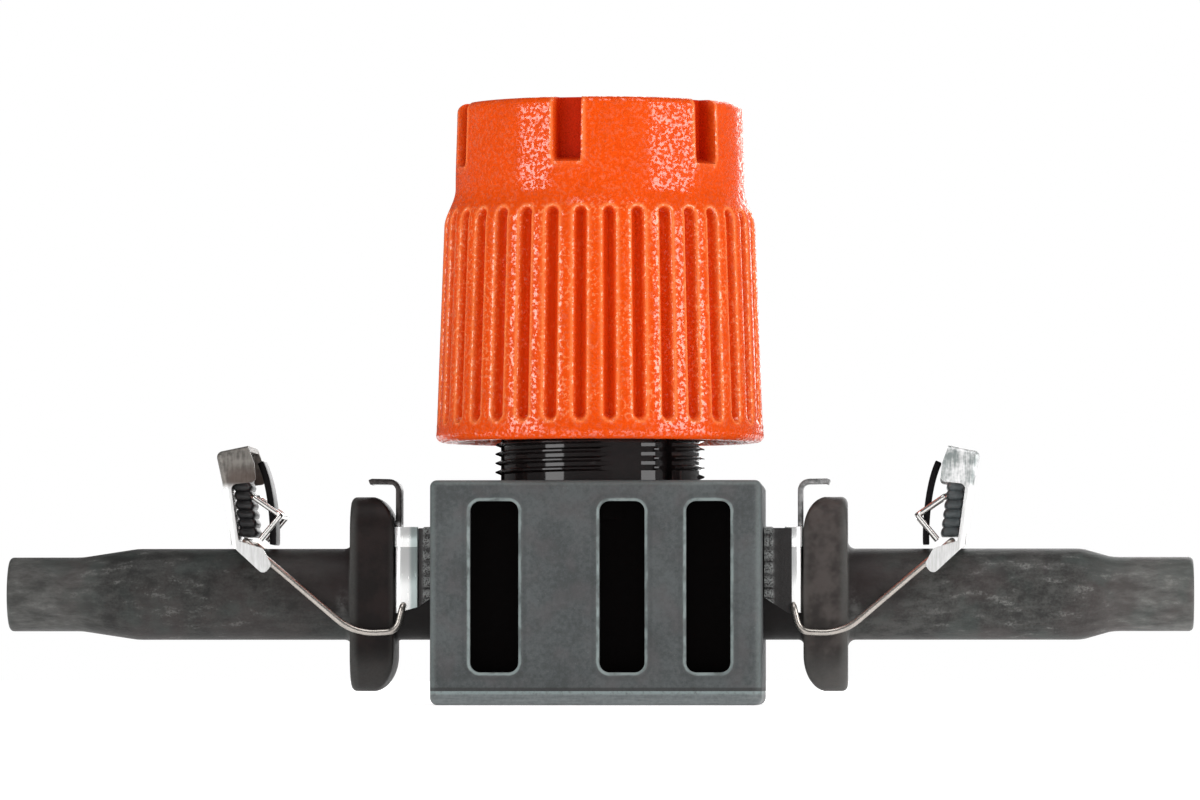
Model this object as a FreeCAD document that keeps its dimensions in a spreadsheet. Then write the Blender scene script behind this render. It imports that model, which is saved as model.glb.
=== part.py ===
import FreeCAD, Part
import math
import os

import Sketcher
from FreeCAD import Placement, Rotation, Vector

# An inline adjustable drip emitter, in millimetres and at its real size.
# X runs along the two hose spigots (inlet at -X, outlet at +X), Z is up, Y points to the back,
# and the origin is the centre of the housing's base.  The adjuster is drawn as it stands in use,
# three turns above the position where its needle closes the seat.

DRIVING = {
    # housing
    "housing_width": 18.0,
    "housing_depth": 13.0,
    "housing_top": 12.2,
    "housing_wall": 1.0,
    "housing_corner": 0.6,
    "base_thick": 0.77,
    "rim_rise": 0.8,
    "window_low": 1.78,
    "window_high": 11.07,
    "window_corner": 0.55,
    "window_lip": 0.15,
    "window_a_low": -6.81,
    "window_a_high": -4.18,
    "window_b_low": 0.2,
    "window_b_high": 2.66,
    "window_c_low": 4.9,
    "window_c_high": 7.31,
    # water way and threaded neck
    "axis_height": 6.08,
    "block_gap": 0.3,
    "block_low": 1.65,
    "block_high": 11.1,
    "way_radius": 1.0,
    "socket_radius": 1.95,
    "socket_deep": 2.7,
    "chamber_radius": 2.0,
    "seat_radius": 1.5,
    "seat_low": 7.0,
    "seat_high": 8.2,
    "seat_bore": 0.45,
    "neck_root": 5.44,
    "neck_crest": 5.74,
    "neck_high": 21.5,
    "neck_relief_inner": 3.0,
    "neck_relief_outer": 4.5,
    "neck_relief_low": 13.0,
    "neck_opening": 5.86,
    "thread_pitch": 0.5,
    "thread_low": 12.5,
    "thread_high": 21.0,
    "thread_clear": 0.12,
    "riser_radius": 0.8,
    "riser_out": 4.0,
    "bridge_up": 9.4,
    "flat_face": 5.38,
    "flat_half": 1.5,
    "keyway_face": 5.0,
    "keyway_half": 0.6,
    # spigots
    "stub_radius": 2.5,
    "tip_radius": 2.03,
    "shank_radius": 1.9,
    "shank_start": 5.05,
    "gland_low": 5.98,
    "gland_high": 6.46,
    "gland_radius": 1.49,
    "spigot_bore": 1.15,
    "spigot_end": 32.5,
    "tip_round": 0.25,
    "flange_round": 0.3,
    "flange_slope_width": 1.2,
    "flange_inner": 11.2,
    "flange_outer": 13.6,
    "flange_reach": 5.32,
    "flange_half": 2.6,
    "flange_corner": 1.8,
    "flange_slope": 0.8,
    "inlet_taper_start": 25.45,
    "inlet_taper_end": 28.46,
    "outlet_taper_start": 26.3,
    "outlet_taper_end": 28.2,
    # adjuster
    "cap_top": 32.95,
    "cap_low": 14.4,
    "cap_head": 7.9,
    "cap_shoulder": 8.0,
    "cap_waist": 8.6,
    "cap_skirt": 9.0,
    "cap_shoulder_high": 28.2,
    "cap_waist_high": 26.3,
    "cap_lid": 1.4,
    "cap_inner": 6.75,
    "skirt_inner": 7.8,
    "flute_low": 15.6,
    "flute_high": 26.75,
    "flute_radius": 0.33,
    "flute_count": 34,
    "notch_count": 6,
    "notch_width": 1.5,
    "notch_low": 29.45,
    "core_low": 15.5,
    "core_web": 27.0,
    "needle_radius": 1.0,
    "needle_stem": 1.5,
    "piston_radius": 1.9,
    "head_radius": 2.4,
    "piston_low": 13.7,
    "piston_high": 16.8,
    "seal_deep": 0.48,
    "seal_wire": 0.22,
    "seal_up": 15.2,
    "core_land_low": 16.8,
    "core_land_high": 20.0,
    "head_low": 29.0,
    "head_high": 30.0,
    # hose clips
    "saddle_low_near": 5.86,
    "saddle_low_far": 5.16,
    "strap_low": 8.62,
    "pivot_out": 10.65,
    "pivot_up": 5.45,
    "wire_radius": 0.18,
    "loop_wire_radius": 0.15,
    "arm_wire_side": 3.0,
    "leg_inner": 2.53,
    "leg_outer": 2.75,
    "leg_low": 5.0,
    "leg_high": 9.74,
    "tongue_half": 1.2,
    "strap_inner": 10.87,
    "strap_outer": 11.17,
    "hook_low": 11.9,
    "hook_high": 12.32,
    "hook_reach": 12.64,
    "lever_half": 3.5,
    "lever_sheet": 0.3,
    "lever_pad_half": 1.9,
    "leaf_half": 1.4,
    "leaf_thick": 0.28,
}

CAP_TURN = -41.0            # degrees about Z of the notch that the others are counted from
FLUTE_TURN = -1.05          # degrees from that notch to the first flute
NECK_FLAT_TURN = -72.0      # degrees about Z of the first smooth flat on the neck
NECK_KEYWAY_TURN = -48.0    # degrees about Z of the first keyway on the neck
ALONG_X = Rotation(Vector(0, 1, 0), 90)
ALONG_Y = Rotation(Vector(1, 0, 0), -90)

doc = FreeCAD.newDocument("drip_emitter")
sheet = doc.addObject("Spreadsheet::Sheet", "sizes")


class Size:
    """A length that holds both its value and the sheet expression that gives it."""

    def __init__(self, value, text):
        self.value = value
        self.text = text

    def __add__(self, other):
        other = as_size(other)
        return Size(self.value + other.value, f"({self.text} + {other.text})")

    def __sub__(self, other):
        other = as_size(other)
        return Size(self.value - other.value, f"({self.text} - {other.text})")

    def __mul__(self, other):
        other = as_size(other)
        return Size(self.value * other.value, f"({self.text} * {other.text})")

    def __truediv__(self, other):
        other = as_size(other)
        return Size(self.value / other.value, f"({self.text} / {other.text})")

    def __neg__(self):
        return self * -1

    def __radd__(self, other):
        return as_size(other) + self

    def __rsub__(self, other):
        return as_size(other) - self

    def __rmul__(self, other):
        return as_size(other) * self


def as_size(number):
    return number if isinstance(number, Size) else Size(float(number), f"({float(number)})")


def cell(alias):
    """The sheet's value under this alias."""
    return Size(float(sheet.get(alias)), f"sizes.{alias}")


def fill_sheet():
    for row, (alias, value) in enumerate(DRIVING.items(), start=1):
        sheet.set(f"A{row}", alias.replace("_", " "))
        sheet.set(f"B{row}", str(value))
        sheet.setAlias(f"B{row}", alias)
    doc.recompute()


# ---------------------------------------------------------------- drawing helpers

def bind(item, **sizes):
    for name, size in sizes.items():
        item.setExpression(name, as_size(size).text)
    return item


def stand(item, across, deep, up, rotation=None):
    """Put an object's own origin at this place."""
    if rotation is not None:
        item.Placement = Placement(Vector(), rotation)
    for axis, size in zip("xyz", (across, deep, up)):
        item.setExpression(f"Placement.Base.{axis}", as_size(size).text)
    return item


def box(name, across, deep, up):
    """A block between three pairs of limits."""
    item = doc.addObject("Part::Box", name)
    limits = [(as_size(low), as_size(high)) for low, high in (across, deep, up)]
    spans = [high - low for low, high in limits]
    bind(item, Length=spans[0], Width=spans[1], Height=spans[2])
    return stand(item, limits[0][0], limits[1][0], limits[2][0])


def rod(name, radius, length, start, rotation=None):
    """A cylinder that leaves its start along +Z, or along the axis that the rotation gives."""
    item = doc.addObject("Part::Cylinder", name)
    bind(item, Radius=radius, Height=length)
    return stand(item, *start, rotation)


def cone(name, low_radius, high_radius, length, up):
    item = doc.addObject("Part::Cone", name)
    bind(item, Radius1=low_radius, Radius2=high_radius, Height=length)
    return stand(item, 0, 0, up)


def ring(name, major, minor, centre, rotation=None):
    item = doc.addObject("Part::Torus", name)
    bind(item, Radius1=major, Radius2=minor)
    return stand(item, *centre, rotation)


def fuse(name, *pieces, refine=True):
    item = doc.addObject("Part::MultiFuse", name)
    item.Shapes = list(pieces)
    item.Refine = refine
    return item


def cut(name, base, *tools):
    item = doc.addObject("Part::Cut", name)
    item.Base = base
    item.Tool = tools[0] if len(tools) == 1 else fuse(name + "_tools", *tools)
    item.Refine = True
    return item


def mirrored(name, source):
    """The same piece on the other side of the housing."""
    item = doc.addObject("Part::Mirroring", name)
    item.Source = source
    item.Normal = Vector(1, 0, 0)
    return item


def turned(name, source, angle):
    """A copy of a cutter, turned about Z."""
    item = doc.addObject("Part::Compound", name)
    item.Links = [source]
    item.Placement = Placement(Vector(), Rotation(Vector(0, 0, 1), angle))
    return item


def body_of(name):
    return doc.addObject("PartDesign::Body", name)


def sketch_on(body, role, name, offset=None):
    sketch = body.newObject("Sketcher::SketchObject", name)
    plane = next(part for part in body.Origin.OriginFeatures if part.Role == role)
    sketch.AttachmentSupport = [(plane, "")]
    sketch.MapMode = "FlatFace"
    if offset is not None:
        sketch.setExpression("AttachmentOffset.Base.z", as_size(offset).text)
    return sketch


def pin_corner(sketch, geometry, across, up):
    """Hold a line's first end at a place that follows the sheet."""
    for kind, size in (("DistanceX", across), ("DistanceY", up)):
        rule = Sketcher.Constraint(kind, -1, 1, geometry, 1, size.value)
        index = sketch.addConstraint(rule)
        sketch.setExpression(f"Constraints[{index}]", size.text)


def outline(sketch, corners):
    """A closed straight-sided outline."""
    corners = [(as_size(across), as_size(up)) for across, up in corners]
    first = sketch.GeometryCount
    count = len(corners)
    for here, there in zip(corners, corners[1:] + corners[:1]):
        ends = [Vector(across.value, up.value, 0) for across, up in (here, there)]
        sketch.addGeometry(Part.LineSegment(*ends), False)
    for step in range(count):
        following = first + (step + 1) % count
        sketch.addConstraint(Sketcher.Constraint("Coincident", first + step, 2, following, 1))
    for step, (across, up) in enumerate(corners):
        pin_corner(sketch, first + step, across, up)


def rectangle(sketch, across, up):
    low, high = across
    bottom, top = up
    outline(sketch, [(low, bottom), (high, bottom), (high, top), (low, top)])


def circle(sketch, radius):
    radius = as_size(radius)
    index = sketch.addGeometry(Part.Circle(Vector(), Vector(0, 0, 1), radius.value), False)
    sketch.addConstraint(Sketcher.Constraint("Coincident", index, 3, -1, 1))
    rule = sketch.addConstraint(Sketcher.Constraint("Radius", index, radius.value))
    sketch.setExpression(f"Constraints[{rule}]", radius.text)


def feature(body, kind, name, sketch, length=None, symmetric=False, backwards=False):
    """A pad, pocket or other feature drawn from a sketch."""
    item = body.newObject("PartDesign::" + kind, name)
    item.Profile = sketch
    if length is not None:
        bind(item, Length=length)
        item.SideType = "Symmetric" if symmetric else "One side"
        item.Reversed = backwards
    doc.recompute()
    return item


def spun(body, name, corners, axis, cutting=False):
    """A full revolution of an outline drawn as distance along X and height along Z."""
    sketch = sketch_on(body, "XZ_Plane", name + "_outline")
    outline(sketch, corners)
    item = body.newObject("PartDesign::Groove" if cutting else "PartDesign::Revolution", name)
    item.Profile = sketch
    item.ReferenceAxis = (sketch, [axis])
    item.Angle = 360
    doc.recompute()
    return item


def smallest_change(before, body):
    """Stop if the last feature did nothing."""
    if abs(body.Shape.Volume - before) < 1e-6:
        raise RuntimeError(body.Name + ": a feature changed nothing")


def dressed(body, kind, name, size, choose):
    """A fillet or chamfer on the edges that the test chooses."""
    base = body.Tip
    edges = base.Shape.Edges
    names = [f"Edge{number}" for number, edge in enumerate(edges, start=1) if choose(edge)]
    before = body.Shape.Volume
    item = body.newObject("PartDesign::" + kind, name)
    item.Base = (base, names)
    bind(item, **{"Radius" if kind == "Fillet" else "Size": size})
    doc.recompute()
    smallest_change(before, body)
    return item


def repeated(body, name, original, count, axis_role="Z_Axis"):
    """Copies of a feature, evenly round an axis of the body."""
    item = body.newObject("PartDesign::PolarPattern", name)
    item.Originals = [original]
    axis = next(part for part in body.Origin.OriginFeatures if part.Role == axis_role)
    item.Axis = (axis, [""])
    item.Angle = 360
    bind(item, Occurrences=count)
    body.Tip = item
    before = body.Shape.Volume
    doc.recompute()
    smallest_change(before, body)
    return item


def spans(edge, axis):
    """Length of an edge's box along one axis."""
    return getattr(edge.BoundBox, axis + "Length")


def lies_at(edge, axis, place):
    """True where the whole edge lies at this place on one axis."""
    limits = edge.BoundBox
    ends = (getattr(limits, axis + "Min"), getattr(limits, axis + "Max"))
    return all(abs(end - place) < 1e-4 for end in ends)


def bent_wire(name, corners, bends, radius):
    """Round wire along straight runs that are joined by tangent bends."""
    edges = []
    start = corners[0]
    for before, corner, after, bend in zip(corners, corners[1:], corners[2:], bends):
        coming = (corner - before).normalize()
        going = (after - corner).normalize()
        half_turn = coming.getAngle(going) / 2
        setback = bend * math.tan(half_turn)
        inward = (going - coming).normalize()
        crown = corner + inward * (bend / math.cos(half_turn) - bend)
        bend_start = corner - coming * setback
        bend_end = corner + going * setback
        edges.append(Part.LineSegment(start, bend_start).toShape())
        edges.append(Part.Arc(bend_start, crown, bend_end).toShape())
        start = bend_end
    edges.append(Part.LineSegment(start, corners[-1]).toShape())
    spine = Part.Wire(edges)
    heading = (corners[1] - corners[0]).normalize()
    section = Part.Wire([Part.Circle(corners[0], heading, radius).toShape()])
    item = doc.addObject("Part::Feature", name)
    item.Shape = spine.makePipeShell([section], True, False)
    return item


# ---------------------------------------------------------------- housing

def windows():
    """The three front windows as pairs of limits along X."""
    return [(cell(f"window_{letter}_low"), cell(f"window_{letter}_high")) for letter in "abc"]


def housing_shell():
    body = body_of("housing_shell")
    half_width = cell("housing_width") / 2
    half_depth = cell("housing_depth") / 2
    wall = cell("housing_wall")
    height = cell("housing_top") - cell("base_thick")

    sketch = sketch_on(body, "XY_Plane", "shell_plan", cell("base_thick"))
    rectangle(sketch, (-half_width, half_width), (-half_depth, half_depth))
    feature(body, "Pad", "shell_block", sketch, height)
    dressed(body, "Fillet", "shell_corners", cell("housing_corner"),
            lambda edge: spans(edge, "X") < 1e-4 and spans(edge, "Y") < 1e-4)
    top = cell("housing_top").value
    dressed(body, "Fillet", "shell_top_round", cell("housing_corner") * 0.6,
            lambda edge: lies_at(edge, "Z", top))

    sketch = sketch_on(body, "XY_Plane", "shell_hollow_plan", cell("base_thick"))
    rectangle(sketch, (wall - half_width, half_width - wall), (wall - half_depth, half_depth - wall))
    cutting(body, "shell_hollow", sketch, height - wall, backwards=True)

    sketch = sketch_on(body, "XZ_Plane", "window_outlines")
    for across in windows():
        rectangle(sketch, across, (cell("window_low"), cell("window_high")))
    cutting(body, "window_cuts", sketch, cell("housing_depth") * 2, symmetric=True)
    places = [limit.value for across in windows() for limit in across]
    heights = (cell("window_low").value, cell("window_high").value)
    dressed(body, "Fillet", "window_corners", cell("window_corner"),
            lambda edge: spans(edge, "X") < 1e-4 and spans(edge, "Z") < 1e-4
            and any(lies_at(edge, "X", place) for place in places)
            and any(lies_at(edge, "Z", height) for height in heights))
    face = half_depth.value
    dressed(body, "Chamfer", "window_lips", cell("window_lip"),
            lambda edge: (lies_at(edge, "Y", face) or lies_at(edge, "Y", -face))
            and edge.BoundBox.ZMin > heights[0] - 1e-3 and edge.BoundBox.ZMax < heights[1] + 1e-3
            and edge.BoundBox.XMin > places[0] - 1e-3 and edge.BoundBox.XMax < places[-1] + 1e-3)

    sketch = sketch_on(body, "XY_Plane", "neck_hole_plan", cell("housing_top") + 1)
    circle(sketch, cell("neck_opening"))
    cutting(body, "neck_hole", sketch, wall + 2)
    side_holes = rod("spigot_holes", cell("stub_radius") + 0.05, cell("housing_width") + 2,
                     (-half_width - 1, 0, cell("axis_height")), ALONG_X)
    return cut("housing_shell_bored", body, side_holes)


def cutting(body, name, sketch, length, **ways):
    """A pocket that has to remove something."""
    before = body.Shape.Volume
    feature(body, "Pocket", name, sketch, length, **ways)
    smallest_change(before, body)


def base_cover():
    body = body_of("base_cover")
    half_width = cell("housing_width") / 2
    half_depth = cell("housing_depth") / 2
    play = cell("housing_wall") + 0.05
    sketch = sketch_on(body, "XY_Plane", "cover_plan")
    rectangle(sketch, (-half_width, half_width), (-half_depth, half_depth))
    feature(body, "Pad", "cover_plate", sketch, cell("base_thick"))
    dressed(body, "Fillet", "cover_corners", cell("housing_corner"),
            lambda edge: spans(edge, "X") < 1e-4 and spans(edge, "Y") < 1e-4)
    dressed(body, "Fillet", "cover_lower_round", cell("housing_corner") * 0.7,
            lambda edge: lies_at(edge, "Z", 0))
    sketch = sketch_on(body, "XY_Plane", "cover_rim_plan", cell("base_thick"))
    rectangle(sketch, (play - half_width, half_width - play), (play - half_depth, half_depth - play))
    rectangle(sketch, (play + 0.8 - half_width, half_width - play - 0.8),
              (play + 0.8 - half_depth, half_depth - play - 0.8))
    feature(body, "Pad", "cover_rim", sketch, cell("rim_rise"))
    return body


# ---------------------------------------------------------------- valve body

def thread_ridge(name, root, crest, half_root, half_crest, low, high):
    """A trapezium section carried along a right-handed helix."""
    path = doc.addObject("Part::Helix", name + "_path")
    bind(path, Pitch=cell("thread_pitch"), Height=high - low, Radius=root)
    path.SegmentLength = 1
    section = doc.addObject("Part::Polygon", name + "_section")
    corners = [(root, -half_root), (crest, -half_crest), (crest, half_crest), (root, half_root)]
    section.Nodes = [Vector(out, 0, up) for out, up in
                     [(float(radius.value), height) for radius, height in corners]]
    section.Close = True
    ridge = doc.addObject("Part::Sweep", name)
    ridge.Sections = [section]
    ridge.Spine = (path, [])
    ridge.Solid = True
    ridge.Frenet = True
    return stand(ridge, 0, 0, low)


def valve_body():
    block_half = cell("housing_width") / 2 - cell("housing_wall") - cell("block_gap")
    block_deep = cell("housing_depth") / 2 - cell("housing_wall") - cell("block_gap")
    axis = cell("axis_height")
    block = box("valve_block", (-block_half, block_half), (-block_deep, block_deep),
                (cell("block_low"), cell("block_high")))
    neck = rod("neck_core", cell("neck_root"), cell("neck_high") - cell("block_high") + 1,
               (0, 0, cell("block_high") - 1))
    ridge = thread_ridge("neck_thread", cell("neck_root") - 0.03, cell("neck_crest"),
                         0.17, 0.04, cell("thread_low"), cell("thread_high"))
    solid = fuse("valve_solid", block, neck, ridge)

    relief_high = cell("neck_high") - cell("neck_relief_low") + 1
    relief_low = (0, 0, cell("neck_relief_low"))
    relief = cut("neck_relief",
                 rod("relief_outer", cell("neck_relief_outer"), relief_high, relief_low),
                 rod("relief_inner", cell("neck_relief_inner"), relief_high, relief_low))
    chamber = rod("chamber", cell("chamber_radius"), cell("neck_high") - cell("seat_high") + 1,
                  (0, 0, cell("seat_high")))
    seat_pocket = rod("seat_pocket", cell("seat_radius"),
                      cell("seat_high") - cell("seat_low") + 0.1, (0, 0, cell("seat_low")))
    socket = cell("socket_deep")
    meet = 0.1
    inlet_way = rod("inlet_way", cell("way_radius"), block_half - socket + cell("seat_radius") + meet,
                    (socket - block_half - meet, 0, axis), ALONG_X)
    outlet_low = cell("riser_out") - cell("riser_radius")
    outlet_way = rod("outlet_way", cell("way_radius"), block_half - socket - outlet_low + meet,
                     (outlet_low, 0, axis), ALONG_X)
    riser = rod("outlet_riser", cell("riser_radius"), cell("bridge_up") - axis,
                (cell("riser_out"), 0, axis))
    bridge = rod("outlet_bridge", cell("riser_radius"), cell("riser_out"),
                 (0, 0, cell("bridge_up")), ALONG_X)
    sockets = [rod("inlet_socket", cell("socket_radius"), socket + 1,
                   (-block_half - 1, 0, axis), ALONG_X),
               rod("outlet_socket", cell("socket_radius"), socket + 1,
                   (block_half - socket, 0, axis), ALONG_X)]
    high = (cell("housing_top"), cell("neck_high") + 1)
    outside = cell("neck_crest") + 1
    flat_half = cell("flat_half")
    keyway_half = cell("keyway_half")
    flat = box("neck_flat", (cell("flat_face"), outside), (-flat_half, flat_half), high)
    keyway = box("neck_keyway", (cell("keyway_face"), outside), (-keyway_half, keyway_half), high)
    cutters = []
    for step in range(3):
        cutters.append(turned(f"neck_flat_{step}", flat, NECK_FLAT_TURN + 120 * step))
        cutters.append(turned(f"neck_keyway_{step}", keyway, NECK_KEYWAY_TURN + 120 * step))
    return cut("valve_body", solid, relief, chamber, seat_pocket, inlet_way, outlet_way,
               riser, bridge, *sockets, *cutters)


def orifice_seat():
    height = cell("seat_high") - cell("seat_low")
    slug = rod("seat_slug", cell("seat_radius"), height, (0, 0, cell("seat_low")))
    bore = rod("seat_way", cell("seat_bore"), height + 2, (0, 0, cell("seat_low") - 1))
    sink = cone("seat_sink", cell("seat_bore"), cell("seat_bore") + 0.7, as_size(0.7),
                cell("seat_high") - 0.6)
    return cut("orifice_seat", slug, bore, sink)


# ---------------------------------------------------------------- spigots

def spigot(name, taper_start, taper_end):
    """One hose spigot with its flange, drawn along +X about its own axis."""
    body = body_of(name)
    shank = cell("shank_radius")
    stub = cell("stub_radius")
    tip = cell("tip_radius")
    end = cell("spigot_end")
    soft = cell("tip_round")
    shoulder = cell("housing_width") / 2 - cell("housing_wall") - cell("block_gap") + 0.02
    spun(body, name + "_turning", [
        (cell("shank_start"), 0), (cell("shank_start"), shank),
        (cell("gland_low"), shank), (cell("gland_low"), cell("gland_radius")),
        (cell("gland_high"), cell("gland_radius")), (cell("gland_high"), shank),
        (shoulder, shank), (shoulder, stub),
        (taper_start, stub), (taper_end, tip),
        (end - soft, tip), (end, tip - soft), (end, 0)], "H_Axis")

    reach = cell("flange_reach")
    half = cell("flange_half")
    sketch = sketch_on(body, "YZ_Plane", name + "_flange_plan", cell("flange_inner"))
    rectangle(sketch, (-half, half), (-reach, reach))
    thick = cell("flange_outer") - cell("flange_inner")
    feature(body, "Pad", name + "_flange", sketch, thick)
    dressed(body, "Fillet", name + "_flange_corners", cell("flange_corner"),
            lambda edge: spans(edge, "Y") < 1e-4 and spans(edge, "Z") < 1e-4
            and abs(edge.BoundBox.ZMax) > reach.value - 1e-3)
    start = cell("flange_inner")
    outer = cell("flange_outer").value
    clear_of_barrel = cell("stub_radius").value + 0.05
    slopes = sketch_on(body, "XZ_Plane", name + "_slope_outline")
    for side in (1, -1):
        edge = reach * side
        outline(slopes, [(start, edge), (start + cell("flange_slope_width"), edge),
                         (start, edge - cell("flange_slope") * side)])
    cutting(body, name + "_slopes", slopes, half * 3, symmetric=True)
    dressed(body, "Fillet", name + "_flange_round", cell("flange_round"),
            lambda edge: lies_at(edge, "X", outer)
            and (max(abs(edge.BoundBox.YMin), abs(edge.BoundBox.YMax)) > clear_of_barrel
                 or max(abs(edge.BoundBox.ZMin), abs(edge.BoundBox.ZMax)) > clear_of_barrel))

    sketch = sketch_on(body, "YZ_Plane", name + "_bore_plan", end + 1)
    circle(sketch, cell("spigot_bore"))
    cutting(body, name + "_bore", sketch, end)
    stand(body, 0, 0, cell("axis_height"))
    return body


def spigot_ring(name):
    centre = (cell("gland_low") + cell("gland_high")) / 2
    minor = (cell("socket_radius") - cell("gland_radius")) / 2 - 0.01
    major = (cell("socket_radius") + cell("gland_radius")) / 2
    return ring(name, major, minor, (centre, 0, cell("axis_height")), ALONG_X)


# ---------------------------------------------------------------- adjuster

def metering_needle():
    body = body_of("metering_needle")
    play = 0.04
    opened = cell("thread_pitch") * 3
    tip = cell("seat_high") - 0.6 + opened
    small = cell("seat_bore") - 0.06
    full = cell("needle_radius")
    cone_high = tip + (full - small) - play
    piston = cell("piston_radius")
    stem = cell("needle_stem")
    head = cell("head_radius")
    gland = piston - cell("seal_deep")
    gland_low = cell("seal_up") - cell("seal_deep") / 2
    gland_high = cell("seal_up") + cell("seal_deep") / 2
    spun(body, "needle_turning", [
        (0, tip - play), (small, tip - play), (full, cone_high), (full, cell("piston_low") - 0.2),
        (piston, cell("piston_low")), (piston, gland_low), (gland, gland_low), (gland, gland_high),
        (piston, gland_high), (piston, cell("piston_high")), (stem, cell("piston_high") + 0.2),
        (stem, cell("head_low")), (head, cell("head_low")),
        (head, cell("head_high")), (0, cell("head_high"))], "V_Axis")
    return body


def stem_seal():
    minor = cell("seal_wire")
    major = cell("piston_radius") - cell("seal_deep") + minor + 0.03
    return ring("stem_seal", major, minor, (0, 0, cell("seal_up")))


def cap_core():
    """The cap's threaded insert, with a stepped bore that holds the needle's head."""
    low = cell("core_low")
    inner = cell("cap_inner") - 0.05
    high = cell("cap_top") - cell("cap_lid") - 0.1
    band = cell("neck_crest") + cell("thread_clear")
    bore = band + 0.1
    land_low = cell("core_land_low")
    land_high = cell("core_land_high")
    socket = cell("head_radius") + 0.1
    body = body_of("cap_core_blank")
    spun(body, "core_turning", [
        (bore, low), (inner, low), (inner, high), (socket, high),
        (socket, cell("head_low") - 0.06), (cell("needle_stem") + 0.1, cell("head_low") - 0.06),
        (cell("needle_stem") + 0.1, cell("core_web")), (bore, cell("core_web")),
        (bore, land_high + 0.2), (band, land_high), (band, land_low), (bore, land_low - 0.2)], "V_Axis")
    start = cell("thread_low") + cell("thread_pitch") * 9.5
    ridge = thread_ridge("cap_thread", band + 0.03, cell("neck_root") + cell("thread_clear"),
                         0.15, 0.03, start, start + cell("thread_pitch") * 5)
    return fuse("cap_core", body, ridge, refine=False)


def needle_retainer():
    """The plug that shuts the needle's head into the core."""
    high = cell("cap_top") - cell("cap_lid") - 0.15
    low = cell("head_high") + 0.06
    radius = cell("head_radius") + 0.1
    return rod("needle_retainer", radius, high - low, (0, 0, low))


def adjuster_cap():
    body = body_of("adjuster_cap")
    top = cell("cap_top")
    low = cell("cap_low")
    head = cell("cap_head")
    skirt = cell("cap_skirt")
    lid = top - cell("cap_lid")
    inner = cell("cap_inner")
    rim = 0.35
    spun(body, "cap_turning", [
        (0, top), (head - rim, top), (head, top - rim),
        (cell("cap_shoulder"), cell("cap_shoulder_high")), (cell("cap_waist"), cell("cap_waist_high")),
        (skirt, low + 0.9), (skirt, low + 0.25), (skirt - 0.25, low),
        (cell("skirt_inner"), low), (cell("skirt_inner"), low + 0.6),
        (cell("cap_waist") - 1.15, cell("cap_waist_high") - 0.7), (inner, cell("cap_shoulder_high") - 0.8),
        (inner, lid), (0, lid)], "V_Axis")

    notch = sketch_on(body, "XY_Plane", "notch_plan", top + 1)
    half = cell("notch_width") / 2
    rectangle(notch, (inner, skirt), (-half, half))
    cutting(body, "notch", notch, top + 1 - cell("notch_low"))
    repeated(body, "notches", body.Tip, cell("notch_count"))

    spine = sketch_on(body, "XZ_Plane", "flute_spine")
    slant = (skirt - cell("cap_waist")) / (cell("cap_waist_high") - low)
    flute_low = cell("flute_low")
    flute_high = cell("flute_high")
    out_low = skirt - slant * (flute_low - low)
    out_high = skirt - slant * (flute_high - low)
    line = spine.addGeometry(Part.LineSegment(Vector(out_low.value, flute_low.value, 0),
                                              Vector(out_high.value, flute_high.value, 0)), False)
    pin_corner(spine, line, out_low, flute_low)
    for kind, size in (("DistanceX", out_high), ("DistanceY", flute_high)):
        index = spine.addConstraint(Sketcher.Constraint(kind, -1, 1, line, 2, size.value))
        spine.setExpression(f"Constraints[{index}]", size.text)
    section = sketch_on(body, "XY_Plane", "flute_section", flute_low)
    radius = cell("flute_radius")
    round_flute = Part.Circle(Vector(out_low.value, 0, 0), Vector(0, 0, 1), radius.value)
    index = section.addGeometry(round_flute, False)
    section.addConstraint(Sketcher.Constraint("PointOnObject", index, 3, -1))
    for rule, size in ((Sketcher.Constraint("DistanceX", -1, 1, index, 3, out_low.value), out_low),
                       (Sketcher.Constraint("Radius", index, radius.value), radius)):
        number = section.addConstraint(rule)
        section.setExpression(f"Constraints[{number}]", size.text)
    before = body.Shape.Volume
    flute = body.newObject("PartDesign::SubtractivePipe", "flute")
    flute.Profile = section
    flute.Spine = (spine, ["Edge1"])
    doc.recompute()
    smallest_change(before, body)
    repeated(body, "flutes", flute, cell("flute_count"))
    body.Placement = Placement(Vector(), Rotation(Vector(0, 0, 1), CAP_TURN))
    return body


# ---------------------------------------------------------------- hose clips (right-hand side)

def saddle_pad():
    body = body_of("saddle_blank")
    sketch = sketch_on(body, "XZ_Plane", "saddle_outline")
    near = cell("housing_width") / 2 + 0.08
    far = cell("pivot_out") - 0.5
    outline(sketch, [(near, cell("saddle_low_near")), (far, cell("saddle_low_far")),
                     (far, cell("leg_high")), (near, cell("leg_high"))])
    feature(body, "Pad", "saddle_block", sketch, cell("arm_wire_side") * 2, symmetric=True)
    clear = cell("stub_radius") + 0.03
    start = (cell("housing_width") / 2, 0, cell("axis_height"))
    notch_round = rod("saddle_round", clear, as_size(3), start, ALONG_X)
    notch_leg = box("saddle_slot", (cell("housing_width") / 2, cell("pivot_out")), (-clear, clear),
                    (0, cell("axis_height")))
    return cut("right_saddle_pad", body, notch_round, notch_leg)


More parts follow.
